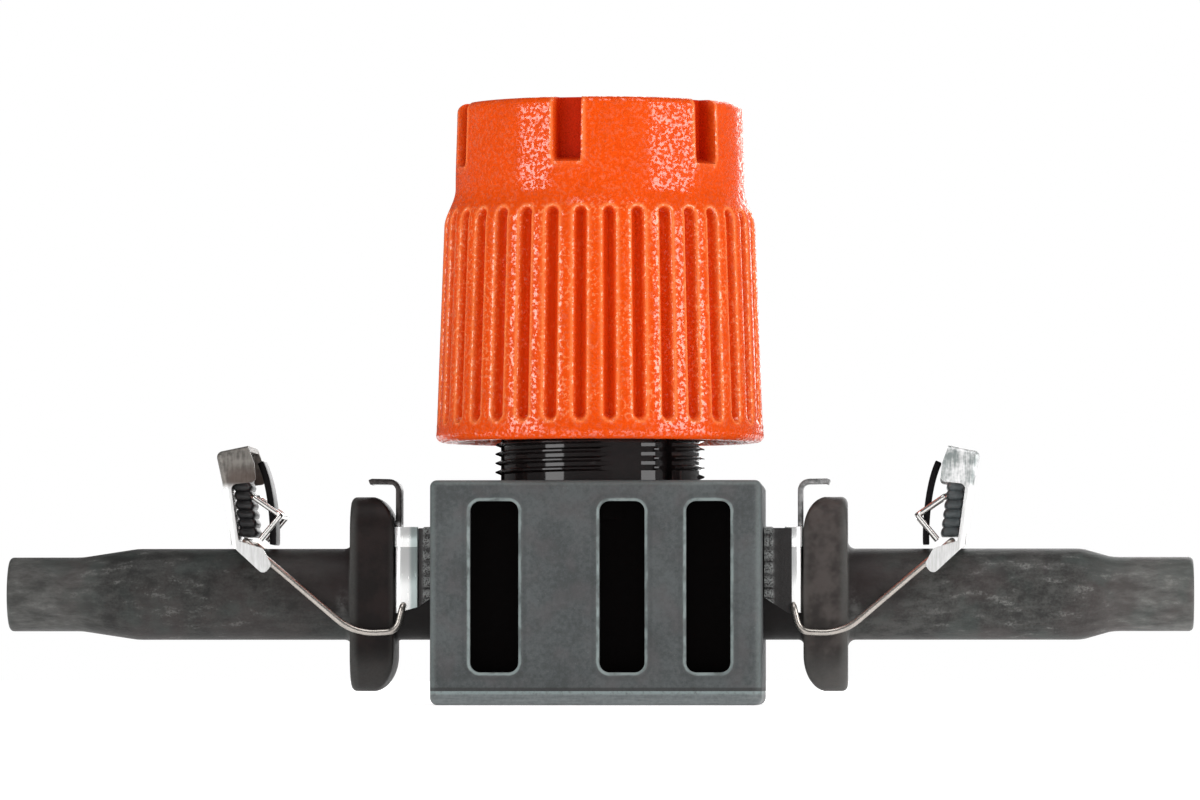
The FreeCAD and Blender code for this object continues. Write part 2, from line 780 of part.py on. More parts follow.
def clip_bracket():
    inner = cell("strap_inner")
    outer = cell("strap_outer")
    tongue = cell("tongue_half")
    leg_in = cell("leg_inner")
    leg_out = cell("leg_outer")
    strap_low = cell("strap_low")
    legs = (cell("pivot_out") - 0.45, outer)
    legs_up = (cell("leg_low"), cell("leg_high"))
    solid = fuse(
        "bracket_solid",
        box("bracket_strap", (inner, outer), (-leg_out, leg_out), (strap_low, cell("leg_high"))),
        box("bracket_tongue", (inner, outer), (-tongue, tongue), (strap_low, cell("hook_high"))),
        box("bracket_hook", (inner, cell("hook_reach")), (-tongue, tongue),
            (cell("hook_low"), cell("hook_high"))),
        box("bracket_leg_front", legs, (-leg_out, -leg_in), legs_up),
        box("bracket_leg_back", legs, (leg_in, leg_out), legs_up))
    eye = rod("bracket_eye", cell("wire_radius") + 0.04, leg_out * 4,
              (cell("pivot_out"), leg_out * -2, cell("pivot_up")), ALONG_Y)
    return cut("right_clip_bracket", solid, eye)


ARM_SAG = [(11.0, 4.0), (13.3, 3.9)]
ARM_REACH = (19.3, 8.95)


def bail_wire():
    side = cell("arm_wire_side").value
    out = cell("pivot_out").value
    up = cell("pivot_up").value
    hand = cell("leg_inner").value - 0.03
    front = [Vector(out, -hand, up), Vector(out, -side, up)]
    front += [Vector(across, -side, height) for across, height in ARM_SAG + [ARM_REACH]]
    back = [Vector(point.x, -point.y, point.z) for point in reversed(front)]
    bends = [0.3, 0.8, 3.0, 0.35]
    return bent_wire("right_bail_wire", front + back, bends + bends[::-1], cell("wire_radius").value)


LEVER_TOE = (18.24, 7.1)
LEVER_HEEL = (20.05, 8.77)
LEVER_BACK = (20.54, 12.2)
LEVER_CROWN = (20.89, 13.8)
LEVER_BROW = (19.12, 14.16)
LEVER_CHEEK = [(18.77, 13.2), (18.66, 12.2)]
LEVER_FLANGE = [(20.05, 12.04), (19.62, 8.95)]
LEVER_WEDGE = [(18.28, 8.55), (17.8, 7.65)]


def lever_channel():
    body = body_of("right_lever_channel")
    half = cell("lever_half")
    sheet_thick = cell("lever_sheet")
    sketch = sketch_on(body, "XZ_Plane", "lever_outline")
    outline(sketch, [LEVER_TOE, LEVER_HEEL, LEVER_BACK, LEVER_CROWN, LEVER_BROW]
            + LEVER_CHEEK + LEVER_FLANGE + LEVER_WEDGE)
    feature(body, "Pad", "lever_block", sketch, half * 2, symmetric=True)
    inside = sketch_on(body, "XZ_Plane", "lever_inside")
    near, far, below = 16.0, 22.0, 6.0
    web_low = 8.72
    crown_slope = (LEVER_BROW[1] - LEVER_CROWN[1]) / (LEVER_CROWN[0] - LEVER_BROW[0])
    corner = LEVER_CROWN[0] - sheet_thick - 0.06
    outline(inside, [(near, below), (far, below), (far, web_low),
                     (LEVER_HEEL[0] - sheet_thick, web_low), (LEVER_BACK[0] - sheet_thick, LEVER_BACK[1]),
                     (corner, LEVER_CROWN[1] - sheet_thick + (sheet_thick + 0.06) * crown_slope),
                     (near, LEVER_CROWN[1] - sheet_thick + (LEVER_CROWN[0] - near) * crown_slope)])
    cutting(body, "lever_hollow", inside, (half - sheet_thick) * 2, symmetric=True)
    return body


PAD_OUTLINE = [(18.64, 9.25), (19.77, 9.25), (20.2, 12.2), (20.3, 12.7), (18.8, 12.95), (18.64, 12.2)]
PAD_RIB_LOW = 9.62
PAD_RIB_PITCH = 0.5
LOOP_PIVOT = (18.95, 11.42)


def lever_pad():
    body = body_of("right_lever_pad")
    sketch = sketch_on(body, "XZ_Plane", "pad_outline")
    half = cell("lever_pad_half")
    outline(sketch, PAD_OUTLINE)
    feature(body, "Pad", "pad_block", sketch, half * 2, symmetric=True)
    ribs = sketch_on(body, "XZ_Plane", "pad_rib_gaps")
    face = PAD_OUTLINE[0][0]
    for step in range(5):
        up = PAD_RIB_LOW + PAD_RIB_PITCH * step
        rectangle(ribs, (face - 0.14, face + 0.18), (up, up + 0.18))
    cutting(body, "pad_ribs", ribs, half * 3, symmetric=True)
    pivot = rod("pad_pivot_bore", cell("loop_wire_radius") + 0.04, half * 4,
                (LOOP_PIVOT[0], half * -2, LOOP_PIVOT[1]), ALONG_Y)
    return cut("right_lever_pad_bored", body, pivot)


LEAF_PATH = [(18.7, 13.3), (18.35, 12.7), (18.05, 11.42), (17.82, 9.9), (17.84, 9.2), (17.98, 8.72)]


def leaf_spring():
    body = body_of("right_leaf_spring")
    sketch = sketch_on(body, "XZ_Plane", "leaf_outline")
    thick = cell("leaf_thick")
    outer = [(across - thick / 2, up) for across, up in LEAF_PATH]
    inner = [(across + thick / 2, up) for across, up in reversed(LEAF_PATH)]
    outline(sketch, outer + inner)
    feature(body, "Pad", "leaf_strip", sketch, cell("leaf_half") * 2, symmetric=True)
    return body


LOOP_TIP = (17.42, 10.37)
LOOP_FOOT = (18.5, 9.05)


def latch_loop():
    side = 2.35
    hand = 1.7
    radius = cell("loop_wire_radius").value
    pivot, tip, foot = (Vector(across, 0, up) for across, up in (LOOP_PIVOT, LOOP_TIP, LOOP_FOOT))
    step = Vector(0, side, 0)
    corners = [pivot - Vector(0, hand, 0), pivot - step, tip - step, tip + step, pivot + step,
               pivot + Vector(0, hand, 0)]
    hoop = bent_wire("loop_hoop", corners, [0.25, 0.3, 0.3, 0.25], radius)
    stays = [bent_wire(f"loop_stay_{name}", [tip - step * sign, foot - step * sign], [], radius)
             for name, sign in (("front", 1), ("back", -1))]
    return fuse("right_latch_loop", hoop, *stays)


# ---------------------------------------------------------------- the whole emitter

def build():
    fill_sheet()
    pieces = {
        "housing_shell": housing_shell(),
        "base_cover": base_cover(),
        "valve_body": valve_body(),
        "orifice_seat": orifice_seat(),
        "outlet_spigot": spigot("outlet_turned", cell("outlet_taper_start"), cell("outlet_taper_end")),
        "inlet_spigot": mirrored("inlet_spigot_hand", spigot(
            "inlet_turned", cell("inlet_taper_start"), cell("inlet_taper_end"))),
        "outlet_o_ring": spigot_ring("outlet_seal"),
        "metering_needle": metering_needle(),
        "stem_seal": stem_seal(),
        "cap_core": cap_core(),
        "needle_retainer": needle_retainer(),
        "adjuster_cap": adjuster_cap(),
    }
    pieces["inlet_o_ring"] = mirrored("inlet_seal", pieces["outlet_o_ring"])
    clip = {
        "saddle_pad": saddle_pad(),
        "clip_bracket": clip_bracket(),
        "bail_wire": bail_wire(),
        "lever_channel": lever_channel(),
        "lever_pad": lever_pad(),
        "leaf_spring": leaf_spring(),
        "latch_loop": latch_loop(),
    }
    for name, piece in clip.items():
        pieces["right_" + name] = piece
        pieces["left_" + name] = mirrored("left_" + name + "_hand", piece)
    doc.recompute()
    return pieces


def check(pieces):
    """Stop before anything is written if the document or a piece is broken."""
    for item in doc.Objects:
        if "Invalid" in item.State or "Error" in item.State:
            raise RuntimeError(item.Name + " failed to recompute")
    for name, piece in pieces.items():
        if piece.Shape.isNull() or not piece.Shape.isValid() or len(piece.Shape.Solids) != 1:
            raise RuntimeError(name + " is not one valid solid")


def write(pieces):
    os.makedirs("parts", exist_ok=True)
    for name, piece in pieces.items():
        piece.Label = name
        piece.Shape.exportStep(f"parts/{name}.step")


emitter = build()
check(emitter)
write(emitter)
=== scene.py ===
import math

import bmesh
import bpy
from bpy.props import FloatProperty, FloatVectorProperty, IntProperty, PointerProperty
from mathutils import Matrix, Vector


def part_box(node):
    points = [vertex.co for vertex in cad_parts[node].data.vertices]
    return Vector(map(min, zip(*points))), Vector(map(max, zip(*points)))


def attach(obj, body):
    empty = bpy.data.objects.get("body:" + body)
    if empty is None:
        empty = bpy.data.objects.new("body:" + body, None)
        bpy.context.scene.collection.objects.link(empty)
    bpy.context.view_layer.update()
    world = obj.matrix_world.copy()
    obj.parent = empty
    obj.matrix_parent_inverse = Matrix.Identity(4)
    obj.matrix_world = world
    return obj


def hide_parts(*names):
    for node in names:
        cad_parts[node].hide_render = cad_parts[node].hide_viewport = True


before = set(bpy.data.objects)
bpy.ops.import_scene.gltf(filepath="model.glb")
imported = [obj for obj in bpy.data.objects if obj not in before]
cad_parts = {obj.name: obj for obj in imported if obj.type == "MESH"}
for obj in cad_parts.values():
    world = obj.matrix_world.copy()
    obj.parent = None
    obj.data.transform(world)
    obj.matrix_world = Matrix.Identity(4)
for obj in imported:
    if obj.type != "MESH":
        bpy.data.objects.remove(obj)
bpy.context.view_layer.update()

bl_info = {
    "name": "Drip emitter",
    "version": (1, 0, 0),
    "blender": (4, 5, 0),
    "location": "3D View > Sidebar > Emitter",
    "description": "Finishes an inline adjustable drip emitter around its frame",
    "category": "Add Mesh",
}

MM = 0.001
SIDES = (("left", -1), ("right", 1))
CAP_LOW, CAP_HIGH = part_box("adjuster_cap")


# ---------------------------------------------------------------- settings

class EMITTER_PG_cap(bpy.types.PropertyGroup):
    """Sizes of the orange adjuster cap."""

    flute_count: IntProperty(name="Flutes", description="Grooves round the skirt", default=34, min=6)
    flute_width: FloatProperty(name="Flute width", description="Width of one groove", default=0.66 * MM,
                               unit="LENGTH")
    flute_depth: FloatProperty(name="Flute depth", description="Depth of one groove", default=0.34 * MM,
                               unit="LENGTH")
    rib_crown: FloatProperty(name="Rib crown", description="How far a rib falls away to its grooves",
                             default=0.34 * MM, unit="LENGTH")
    flute_turn: FloatProperty(name="Flute turn", description="Place of the first groove, from the right",
                              default=math.radians(-84.4), subtype="ANGLE")
    notch_count: IntProperty(name="Notches", description="Notches in the top rim", default=6, min=2)
    notch_width: FloatProperty(name="Notch width", description="Width of one notch", default=1.5 * MM,
                               unit="LENGTH")
    notch_floor: FloatProperty(name="Notch floor", description="Radius of the wall behind a notch",
                               default=6.85 * MM, unit="LENGTH")
    notch_turn: FloatProperty(name="Notch turn", description="Place of the first notch, from the right",
                              default=math.radians(-41.0), subtype="ANGLE")


class EMITTER_PG_clip(bpy.types.PropertyGroup):
    """Sizes of the sheet and rubber pieces of one hose clip."""

    sheet: FloatProperty(name="Sheet", description="Thickness of the lever's sheet steel",
                         default=0.3 * MM, unit="LENGTH")
    bend: FloatProperty(name="Bend", description="Outer radius of the lever's folds",
                        default=0.34 * MM, unit="LENGTH")
    leaf: FloatProperty(name="Leaf", description="Thickness of the leaf spring", default=0.36 * MM,
                        unit="LENGTH")
    rib_pitch: FloatProperty(name="Rib pitch", description="Height of one rib on the lever's pad",
                             default=0.5 * MM, unit="LENGTH")
    saddle_pitch: FloatProperty(name="Saddle rib pitch", description="Height of one rib on the saddle pad",
                                default=0.72 * MM, unit="LENGTH")


class EMITTER_PG_finish(bpy.types.PropertyGroup):
    """Colours of the mouldings."""

    housing: FloatVectorProperty(name="Housing", description="Grey of the housing", subtype="COLOR",
                                 default=(0.064, 0.071, 0.072))
    cap: FloatVectorProperty(name="Cap", description="Orange of the adjuster cap", subtype="COLOR",
                             default=(0.72, 0.067, 0.0015))
    # The notch colour is painted shade inside the notches.
    notch: FloatVectorProperty(name="Notch", description="Red seen inside the notches", subtype="COLOR",
                               default=(0.48, 0.018, 0.0004))
    spigot: FloatVectorProperty(name="Spigot", description="Grey of the hose spigots", subtype="COLOR",
                                default=(0.030, 0.030, 0.0285))
    neck: FloatVectorProperty(name="Neck", description="Black of the valve body", subtype="COLOR",
                              default=(0.006, 0.004, 0.004))


class EMITTER_PG_stage(bpy.types.PropertyGroup):
    """Place of the camera and strength of the lights."""

    distance: FloatProperty(name="Distance", description="Camera to emitter", default=0.45, unit="LENGTH")
    azimuth: FloatProperty(name="Azimuth", description="Camera's turn to the right",
                           default=math.radians(2.2), subtype="ANGLE")
    aim_height: FloatProperty(name="Aim height", description="Height of the point the camera faces",
                              default=16.75 * MM, unit="LENGTH")
    camera_height: FloatProperty(name="Camera height", description="Camera above the floor",
                                 default=1.5 * MM, unit="LENGTH")
    framed_width: FloatProperty(name="Framed width", description="Width of the view at the emitter",
                                default=65.9 * MM, unit="LENGTH")
    fill: FloatProperty(name="Fill", description="Strength of the even light", default=0.24)
    shine: FloatProperty(name="Shine", description="Strength of what polished metal reflects", default=0.32)


# ---------------------------------------------------------------- finishes

class Signal:
    """A node's output that takes part in Python sums."""

    def __init__(self, tree, socket):
        self.tree = tree
        self.socket = socket

    def maths(self, operation, *terms):
        node = self.tree.nodes.new("ShaderNodeMath")
        node.operation = operation
        for entry, term in zip(node.inputs, terms):
            feed(self.tree, entry, term)
        return Signal(self.tree, node.outputs[0])

    def __add__(self, other):
        return self.maths("ADD", self, other)

    def __radd__(self, other):
        return self.maths("ADD", other, self)

    def __sub__(self, other):
        return self.maths("SUBTRACT", self, other)

    def __rsub__(self, other):
        return self.maths("SUBTRACT", other, self)

    def __mul__(self, other):
        return self.maths("MULTIPLY", self, other)

    def __rmul__(self, other):
        return self.maths("MULTIPLY", other, self)

    def __pow__(self, other):
        return self.maths("POWER", self, other)

    def __abs__(self):
        return self.maths("ABSOLUTE", self)

    def over(self, other):
        return self.maths("MAXIMUM", self, other)

    def under(self, other):
        return self.maths("MINIMUM", self, other)

    def step(self, low, high):
        """0 below low, 1 above high, smooth between; low may be the higher of the two."""
        node = self.tree.nodes.new("ShaderNodeMapRange")
        node.interpolation_type = "SMOOTHSTEP"
        feed(self.tree, node.inputs["Value"], self)
        flipped = low > high
        node.inputs["From Min"].default_value = min(low, high)
        node.inputs["From Max"].default_value = max(low, high)
        node.inputs["To Min"].default_value = 1.0 if flipped else 0.0
        node.inputs["To Max"].default_value = 0.0 if flipped else 1.0
        return Signal(self.tree, node.outputs["Result"])


def feed(tree, entry, value):
    """Link a signal to a socket, or set the socket's own value."""
    if isinstance(value, Signal):
        tree.links.new(value.socket, entry)
    else:
        entry.default_value = value


class Finish:
    """A material with its shader, its place in millimetres and a few pattern nodes."""

    def __init__(self, name, roughness=0.5, metallic=0.0, **shader_values):
        self.material = bpy.data.materials.new(name)
        self.material.use_nodes = True
        self.tree = self.material.node_tree
        self.shader = self.tree.nodes["Principled BSDF"]
        self.shader.inputs["Roughness"].default_value = roughness
        self.shader.inputs["Metallic"].default_value = metallic
        for socket, value in shader_values.items():
            self.shader.inputs[socket.replace("_", " ")].default_value = value
        place = self.node("ShaderNodeTexCoord").outputs["Object"]
        scaled = self.node("ShaderNodeVectorMath", {"operation": "SCALE"}, {0: Signal(self.tree, place)})
        scaled.inputs["Scale"].default_value = 1.0 / MM
        self.place = Signal(self.tree, scaled.outputs[0])
        parts = self.node("ShaderNodeSeparateXYZ", inputs={0: self.place})
        self.x, self.y, self.z = (Signal(self.tree, output) for output in parts.outputs)

    def node(self, kind, settings=None, inputs=None):
        item = self.tree.nodes.new(kind)
        for setting, value in (settings or {}).items():
            setattr(item, setting, value)
        for entry, value in (inputs or {}).items():
            feed(self.tree, item.inputs[entry], value)
        return item

    def noise(self, scale, detail=3.0, rough=0.55, place=None):
        item = self.node("ShaderNodeTexNoise", inputs={
            "Vector": place or self.place, "Scale": scale, "Detail": detail, "Roughness": rough})
        return Signal(self.tree, item.outputs["Fac"])

    def streaks(self, scale, detail=3.0, rough=0.6, place=None):
        """Noise whose scale differs along X, Y and Z."""
        item = self.node("ShaderNodeVectorMath", {"operation": "MULTIPLY"}, {0: place or self.place})
        item.inputs[1].default_value = scale
        return self.noise(1.0, detail, rough, Signal(self.tree, item.outputs[0]))

    def specks(self, scale):
        """Distance from the nearest of some scattered points."""
        item = self.node("ShaderNodeTexVoronoi", inputs={"Vector": self.place, "Scale": scale})
        return Signal(self.tree, item.outputs["Distance"])

    def mix(self, factor, low, high):
        """One colour where the factor is 0, another where it is 1."""
        item = self.node("ShaderNodeMix", {"data_type": "RGBA"})
        feed(self.tree, item.inputs["Factor"], factor)
        feed(self.tree, item.inputs[6], solid(low))
        feed(self.tree, item.inputs[7], solid(high))
        return Signal(self.tree, item.outputs[2])

    def drive(self, socket, value):
        """Give one of the shader's sockets a signal or a value."""
        feed(self.tree, self.shader.inputs[socket], value)

    def colour(self, value):
        self.drive("Base Color", solid(value))

    def roughness(self, value):
        self.drive("Roughness", value)

    def painted(self, layer):
        """A number kept on the mesh's points."""
        item = self.node("ShaderNodeAttribute", {"attribute_name": layer})
        return Signal(self.tree, item.outputs["Fac"])

    def relief(self, height, distance, strength=1.0):
        """Bump whose height is in millimetres times the distance."""
        bump = self.node("ShaderNodeBump", inputs={"Height": height, "Strength": strength,
                                                   "Distance": distance * MM})
        self.tree.links.new(bump.outputs["Normal"], self.shader.inputs["Normal"])


def solid(value):
    """A colour tuple with its alpha, or a signal as it is."""
    if isinstance(value, Signal):
        return value
    return (*value[:3], 1.0)


def tone(colour, factor):
    """A colour made lighter or darker."""
    return tuple(channel * factor for channel in colour[:3])


WINDOW_HEIGHTS = (1.78, 11.07)
WINDOW_SPANS = ((-6.81, -4.18), (0.2, 2.66), (4.9, 7.31))
WINDOW_CORNER = 0.55


def scratches(finish, turn, density):
    """Thin straight marks, turned in the front face's plane: the crests of a drawn-out noise."""
    turned = finish.node("ShaderNodeVectorRotate", {"rotation_type": "Y_AXIS"},
                         {"Vector": finish.place, "Angle": turn})
    lines = finish.streaks((0.35, 1.0, 9.0), 1.0, 0.4, Signal(finish.tree, turned.outputs[0]))
    return lines.step(density, density + 0.03)


def from_windows(finish):
    """Distance outside the nearest window's rounded outline, in millimetres."""
    low, high = WINDOW_HEIGHTS
    up = abs(finish.z - (low + high) / 2) - ((high - low) / 2 - WINDOW_CORNER)
    closest = None
    for left, right in WINDOW_SPANS:
        across = abs(finish.x - (left + right) / 2) - ((right - left) / 2 - WINDOW_CORNER)
        outside = (across.over(0.0) ** 2.0 + up.over(0.0) ** 2.0) ** 0.5
        away = outside + across.over(up).under(0.0) - WINDOW_CORNER
        closest = away if closest is None else closest.under(away)
    return closest


def housing_finish(colour):
    """Matte grey moulding with fine mottling, a few marks and paler worn lips and edges."""
    finish = Finish("housing_grey", 0.55, Specular_IOR_Level=0.30)
    broad = finish.noise(0.35, 3.0)
    fine = finish.noise(5.0, 5.0, 0.7)
    specks = finish.specks(3.2).step(0.10, 0.03) * finish.noise(0.7, 1.0).step(0.5, 0.6)
    mottle = broad * 0.45 + fine * 0.55
    base = finish.mix(mottle.step(0.36, 0.64), tone(colour, 0.72), tone(colour, 1.28))
    warm = finish.mix(finish.noise(0.6, 2.0).step(0.45, 0.70) * 0.40, base, (0.086, 0.078, 0.080))
    marked = finish.mix(scratches(finish, 0.5, 0.80) * 0.35, warm, tone(colour, 2.4))
    marked = finish.mix(scratches(finish, -0.9, 0.81) * 0.30, marked, tone(colour, 2.2))
    marked = finish.mix(specks * 0.55, marked, tone(colour, 2.6))
    # Painted highlights on the lips of the windows, the upright edges and the top edge; a dark seam over the
    # cover.
    away = from_windows(finish)
    ragged = finish.noise(1.6, 3.0, 0.6) * 0.16 - 0.08
    front = abs(finish.y).step(6.2, 6.35)
    lip = abs(away - 0.06 + ragged * 0.6).step(0.14, 0.04) * front
    lip = lip * (finish.noise(0.9, 3.0, 0.6).step(0.36, 0.60) * 0.70 + 0.30)
    dull = abs(away - 0.34).step(0.16, 0.02) * front * 0.25
    upright = abs(finish.x).step(8.55, 8.9) * abs(finish.y).step(5.9, 6.3)
    upper = finish.z.step(11.85, 12.05)
    edges = upright.over(upper) * (fine * 0.6 + 0.35)
    seam = finish.z.step(1.02, 0.90)
    toned = finish.mix(dull, marked, tone(colour, 0.55))
    # painted highlight along the upright edges and the top edge
    toned = finish.mix(edges * 0.60, toned, (0.20, 0.235, 0.23))
    # painted highlight on the lips of the windows
    toned = finish.mix(lip * 0.85, toned, (0.27, 0.32, 0.315))
    finish.colour(finish.mix(seam * 0.65, toned, (0.018, 0.016, 0.016)))
    finish.roughness(fine * 0.20 + broad * 0.10 + 0.44)
    finish.relief(fine * 0.5 + finish.noise(12.0, 3.0) * 0.5, 0.030, 0.55)
    return finish.material


def cover_finish(colour):
    """The paler, smoother grey of the base cover, lightest along its upper edge."""
    finish = Finish("cover_grey", 0.42, Specular_IOR_Level=0.4)
    fine = finish.noise(4.0, 4.0, 0.65)
    streaks = finish.streaks((0.8, 0.8, 9.0))
    base = finish.mix((fine * 0.5 + streaks * 0.5).step(0.3, 0.7), tone(colour, 1.45), tone(colour, 2.5))
    # painted highlight along the cover's upper edge
    upper_edge_highlight = finish.z.step(0.52, 0.70) * fine.step(0.25, 0.55)
    finish.colour(finish.mix(upper_edge_highlight * 0.55, base, (0.26, 0.33, 0.325)))
    finish.roughness(fine * 0.2 + 0.34)
    finish.relief(streaks, 0.03, 0.4)
    return finish.material


def cap_finish(colour, notch):
    """Orange moulding whose fine grain glitters, darker in its flutes and notches."""
    finish = Finish("cap_orange", 0.5, Specular_IOR_Level=0.05, Coat_Roughness=0.15, Coat_IOR=1.9)
    hollow = finish.painted("notch")
    flute = finish.painted("flute")
    edge = finish.painted("edge")
    broad = finish.noise(0.5, 2.0)
    grain = finish.noise(5.2, 2.0, 0.6)
    coarse = finish.noise(2.8, 2.0, 0.6)
    ribs = finish.z.step(14.9, 16.0) * finish.z.step(27.6, 26.6) * (1 - flute)    # between the flutes
    base = finish.mix((broad * 0.4 + coarse * 0.6).step(0.3, 0.7), tone(colour, 0.92), tone(colour, 1.06))
    # painted shade in the flutes
    deep = finish.mix(flute * 0.75, base, (0.64, 0.040, 0.002))
    # pale specks on the ribs: painted highlights
    specks = grain.step(0.54, 0.62) * (ribs * 0.36 + 0.10) * broad.step(0.30, 0.60)
    pits = grain.step(0.46, 0.38) * 0.30
    # painted highlights: paler rims on the flute and notch lips, and the pale specks
    pale = finish.mix((edge * 0.50 + specks).under(1.0), finish.mix(pits, deep, (0.60, 0.036, 0.001)),
                      (0.95, 0.29, 0.09))
    # painted shade inside the notches
    finish.colour(finish.mix(hollow, pale, notch))
    glitter = grain.step(0.50, 0.56) * coarse.step(0.30, 0.50) * (1 - hollow)
    finish.drive("Coat Weight", glitter * 0.95 + 0.02)
    finish.roughness(grain * 0.20 + 0.40)
    finish.relief(grain * 0.85 + coarse * 0.15, 0.055, 1.0)
    return finish.material


def neck_finish(colour):
    """Black moulding: a glossy threaded neck above a dull block."""
    finish = Finish("valve_black", 0.6, Specular_IOR_Level=0.05, Coat_Roughness=0.07)
    neck = finish.z.step(12.0, 12.3)    # above the housing's top
    haze = finish.noise(2.5, 3.0)
    glossy = finish.mix(haze, tone(colour, 0.7), tone(colour, 2.4))
    # the block inside the housing is painted darker: painted shade
    finish.colour(finish.mix(neck, tone(colour, 0.25), glossy))
    finish.roughness(haze * 0.2 + 0.75 - neck * 0.3)
    finish.drive("Coat Weight", neck * 0.95)
    finish.relief(finish.noise(1.6, 2.0), 0.04, 0.5)
    return finish.material


def spigot_finish(name, colour, side_light, flange_colour_side_lit):
    """Dark grey moulding: brown-black near its flange, greyer and scuffed towards its tip."""
    finish = Finish(name, 0.5, Specular_IOR_Level=0.22)
    along = abs(finish.x)
    mottle = finish.noise(1.3, 4.0, 0.65)
    fine = finish.noise(7.0, 4.0, 0.7)
    streaks = finish.streaks((0.7, 1.9, 1.9), 4.0, 0.65)
    body = tone(colour, side_light)
    base = finish.mix((mottle * 0.35 + streaks * 0.40 + fine * 0.25).step(0.38, 0.62),
                      tone(body, 0.50), tone(body, 1.55))
    tip = finish.mix(streaks.step(0.3, 0.7), tone(body, 1.8), tone(body, 4.2))
    base = finish.mix(along.step(26.5, 29.0) * 0.6, base, tip)
    warm = finish.noise(0.30, 2.0).step(0.42, 0.62)
    base = finish.mix(warm * 0.40, base, tone((0.046, 0.037, 0.036), side_light))
    green = finish.noise(0.42, 2.0).step(0.52, 0.68)
    base = finish.mix(green * 0.35, base, tone((0.040, 0.052, 0.048), side_light))
    # painted shade on the barrel's top next to the flange
    flange_shade = along.step(18.5, 13.8) * finish.z.step(4.2, 6.2)
    barrel = finish.mix(flange_shade * 0.85, base, (0.014, 0.0085, 0.0085))
    scuff = streaks.step(0.56, 0.70) * fine.step(0.40, 0.58) * along.step(17.0, 20.0)
    barrel = finish.mix(scuff * 0.65, barrel, tone(body, 4.2))
    # painted highlight on the fillet beside the flange
    fillet_highlight = abs(along - 14.0).step(0.5, 0.0) * abs(finish.z - 5.2).step(1.6, 0.2)
    barrel = finish.mix(fillet_highlight * mottle.step(0.35, 0.65) * 0.45, barrel, (0.16, 0.16, 0.155))
    rim = along.step(13.05, 13.45) + along.step(11.55, 11.25) * 0.5
    foot = finish.z.step(3.4, 1.6)
    worn = finish.noise(0.7, 3.0, 0.6).step(0.35, 0.65)
    disc = finish.mix(worn, tone(flange_colour_side_lit, 0.55), tone(flange_colour_side_lit, 1.35))
    # painted highlights: paler rims and foot on the flange
    disc = finish.mix((rim * 0.9 + foot * 0.7).under(1.0) * (fine * 0.6 + 0.4), disc, tone(body, 2.0))
    on_flange = along.step(13.75, 13.55) * along.step(11.0, 11.2)
    # the stub between flange and housing is painted black as shade
    stub_shade = along.step(11.25, 11.05)
    finish.colour(finish.mix(stub_shade, finish.mix(on_flange, barrel, disc), (0.006, 0.004, 0.004)))
    finish.roughness(mottle * 0.25 + 0.38)
    finish.relief(mottle * 0.5 + fine * 0.3 + streaks * 0.2, 0.05, 0.6)
    return finish.material


def steel_finish(name, colour, rough, grain):
    """Bright sheet or wire with fine drawing lines."""
    finish = Finish(name, rough, 1.0)
    lines = finish.streaks(grain)
    tarnish = finish.noise(1.2, 3.0)
    finish.colour(finish.mix(lines * 0.5 + tarnish.step(0.35, 0.75) * 0.5, colour, tone(colour, 0.66)))
    finish.roughness(lines * 0.16 + rough - 0.06)
    finish.relief(lines, 0.012, 0.35)
    return finish.material


def bracket_finish(name, hook):
    """Bright plated sheet whose hook is darker, as heat left it."""
    finish = Finish(name, 0.24, 0.6)
    lines = finish.streaks((7.0, 7.0, 0.8))
    tarnish = finish.noise(2.2, 3.0)
    bright = finish.mix(lines * 0.6 + tarnish * 0.4, (0.98, 0.98, 0.98), (0.84, 0.85, 0.84))
    inner_leg_shade = abs(finish.x).step(10.40, 10.15)
    # painted shade on the legs' inner part, nearest the housing
    toned = finish.mix(inner_leg_shade * 0.72, bright, (0.22, 0.31, 0.30))
    upper = finish.z.step(9.8, 10.1)    # the hook, above the strap
    finish.colour(finish.mix(upper, toned, finish.mix(tarnish.step(0.35, 0.65), hook, tone(hook, 2.2))))
    finish.roughness(lines * 0.14 + upper * 0.16 + 0.18)
    finish.relief(lines, 0.012, 0.35)
    return finish.material


def lever_finish():
    """Bright sheet steel whose thumb end is worn to a warm grey."""
    finish = Finish("lever_steel", 0.22, 0.6)
    lines = finish.streaks((9.0, 9.0, 0.9), 4.0, 0.65)
    blot = finish.noise(1.3, 3.0, 0.6)
    thumb = finish.z.step(11.7, 12.2)
    # painted shade low on the thumb end, towards the cap
    thumb_root_shade = finish.z.step(13.4, 12.5) * abs(finish.x).step(20.6, 19.9)    # low, and towards the cap
    bright = finish.mix(lines.step(0.3, 0.7) * 0.6 + blot * 0.4, (0.98, 0.98, 0.98), (0.60, 0.60, 0.59))
    shades = (blot * 0.6 + lines * 0.4).step(0.38, 0.62)
    dull = finish.mix(shades, (0.10, 0.092, 0.084), (0.24, 0.225, 0.205))
    dull = finish.mix(thumb_root_shade * 0.8, dull, (0.085, 0.060, 0.050))
    pale = finish.mix(shades, (0.26, 0.29, 0.285), (0.88, 0.88, 0.88))
    # painted shade on the left lever and painted light on the right one
    worn = finish.mix(finish.x.step(-1.0, 1.0), dull, pale)    # dull on the left, pale on the right
    finish.colour(finish.mix(thumb, bright, worn))
    finish.roughness(thumb * 0.26 + lines * 0.14 + 0.13)
    finish.relief(lines, 0.015, 0.4)
    return finish.material


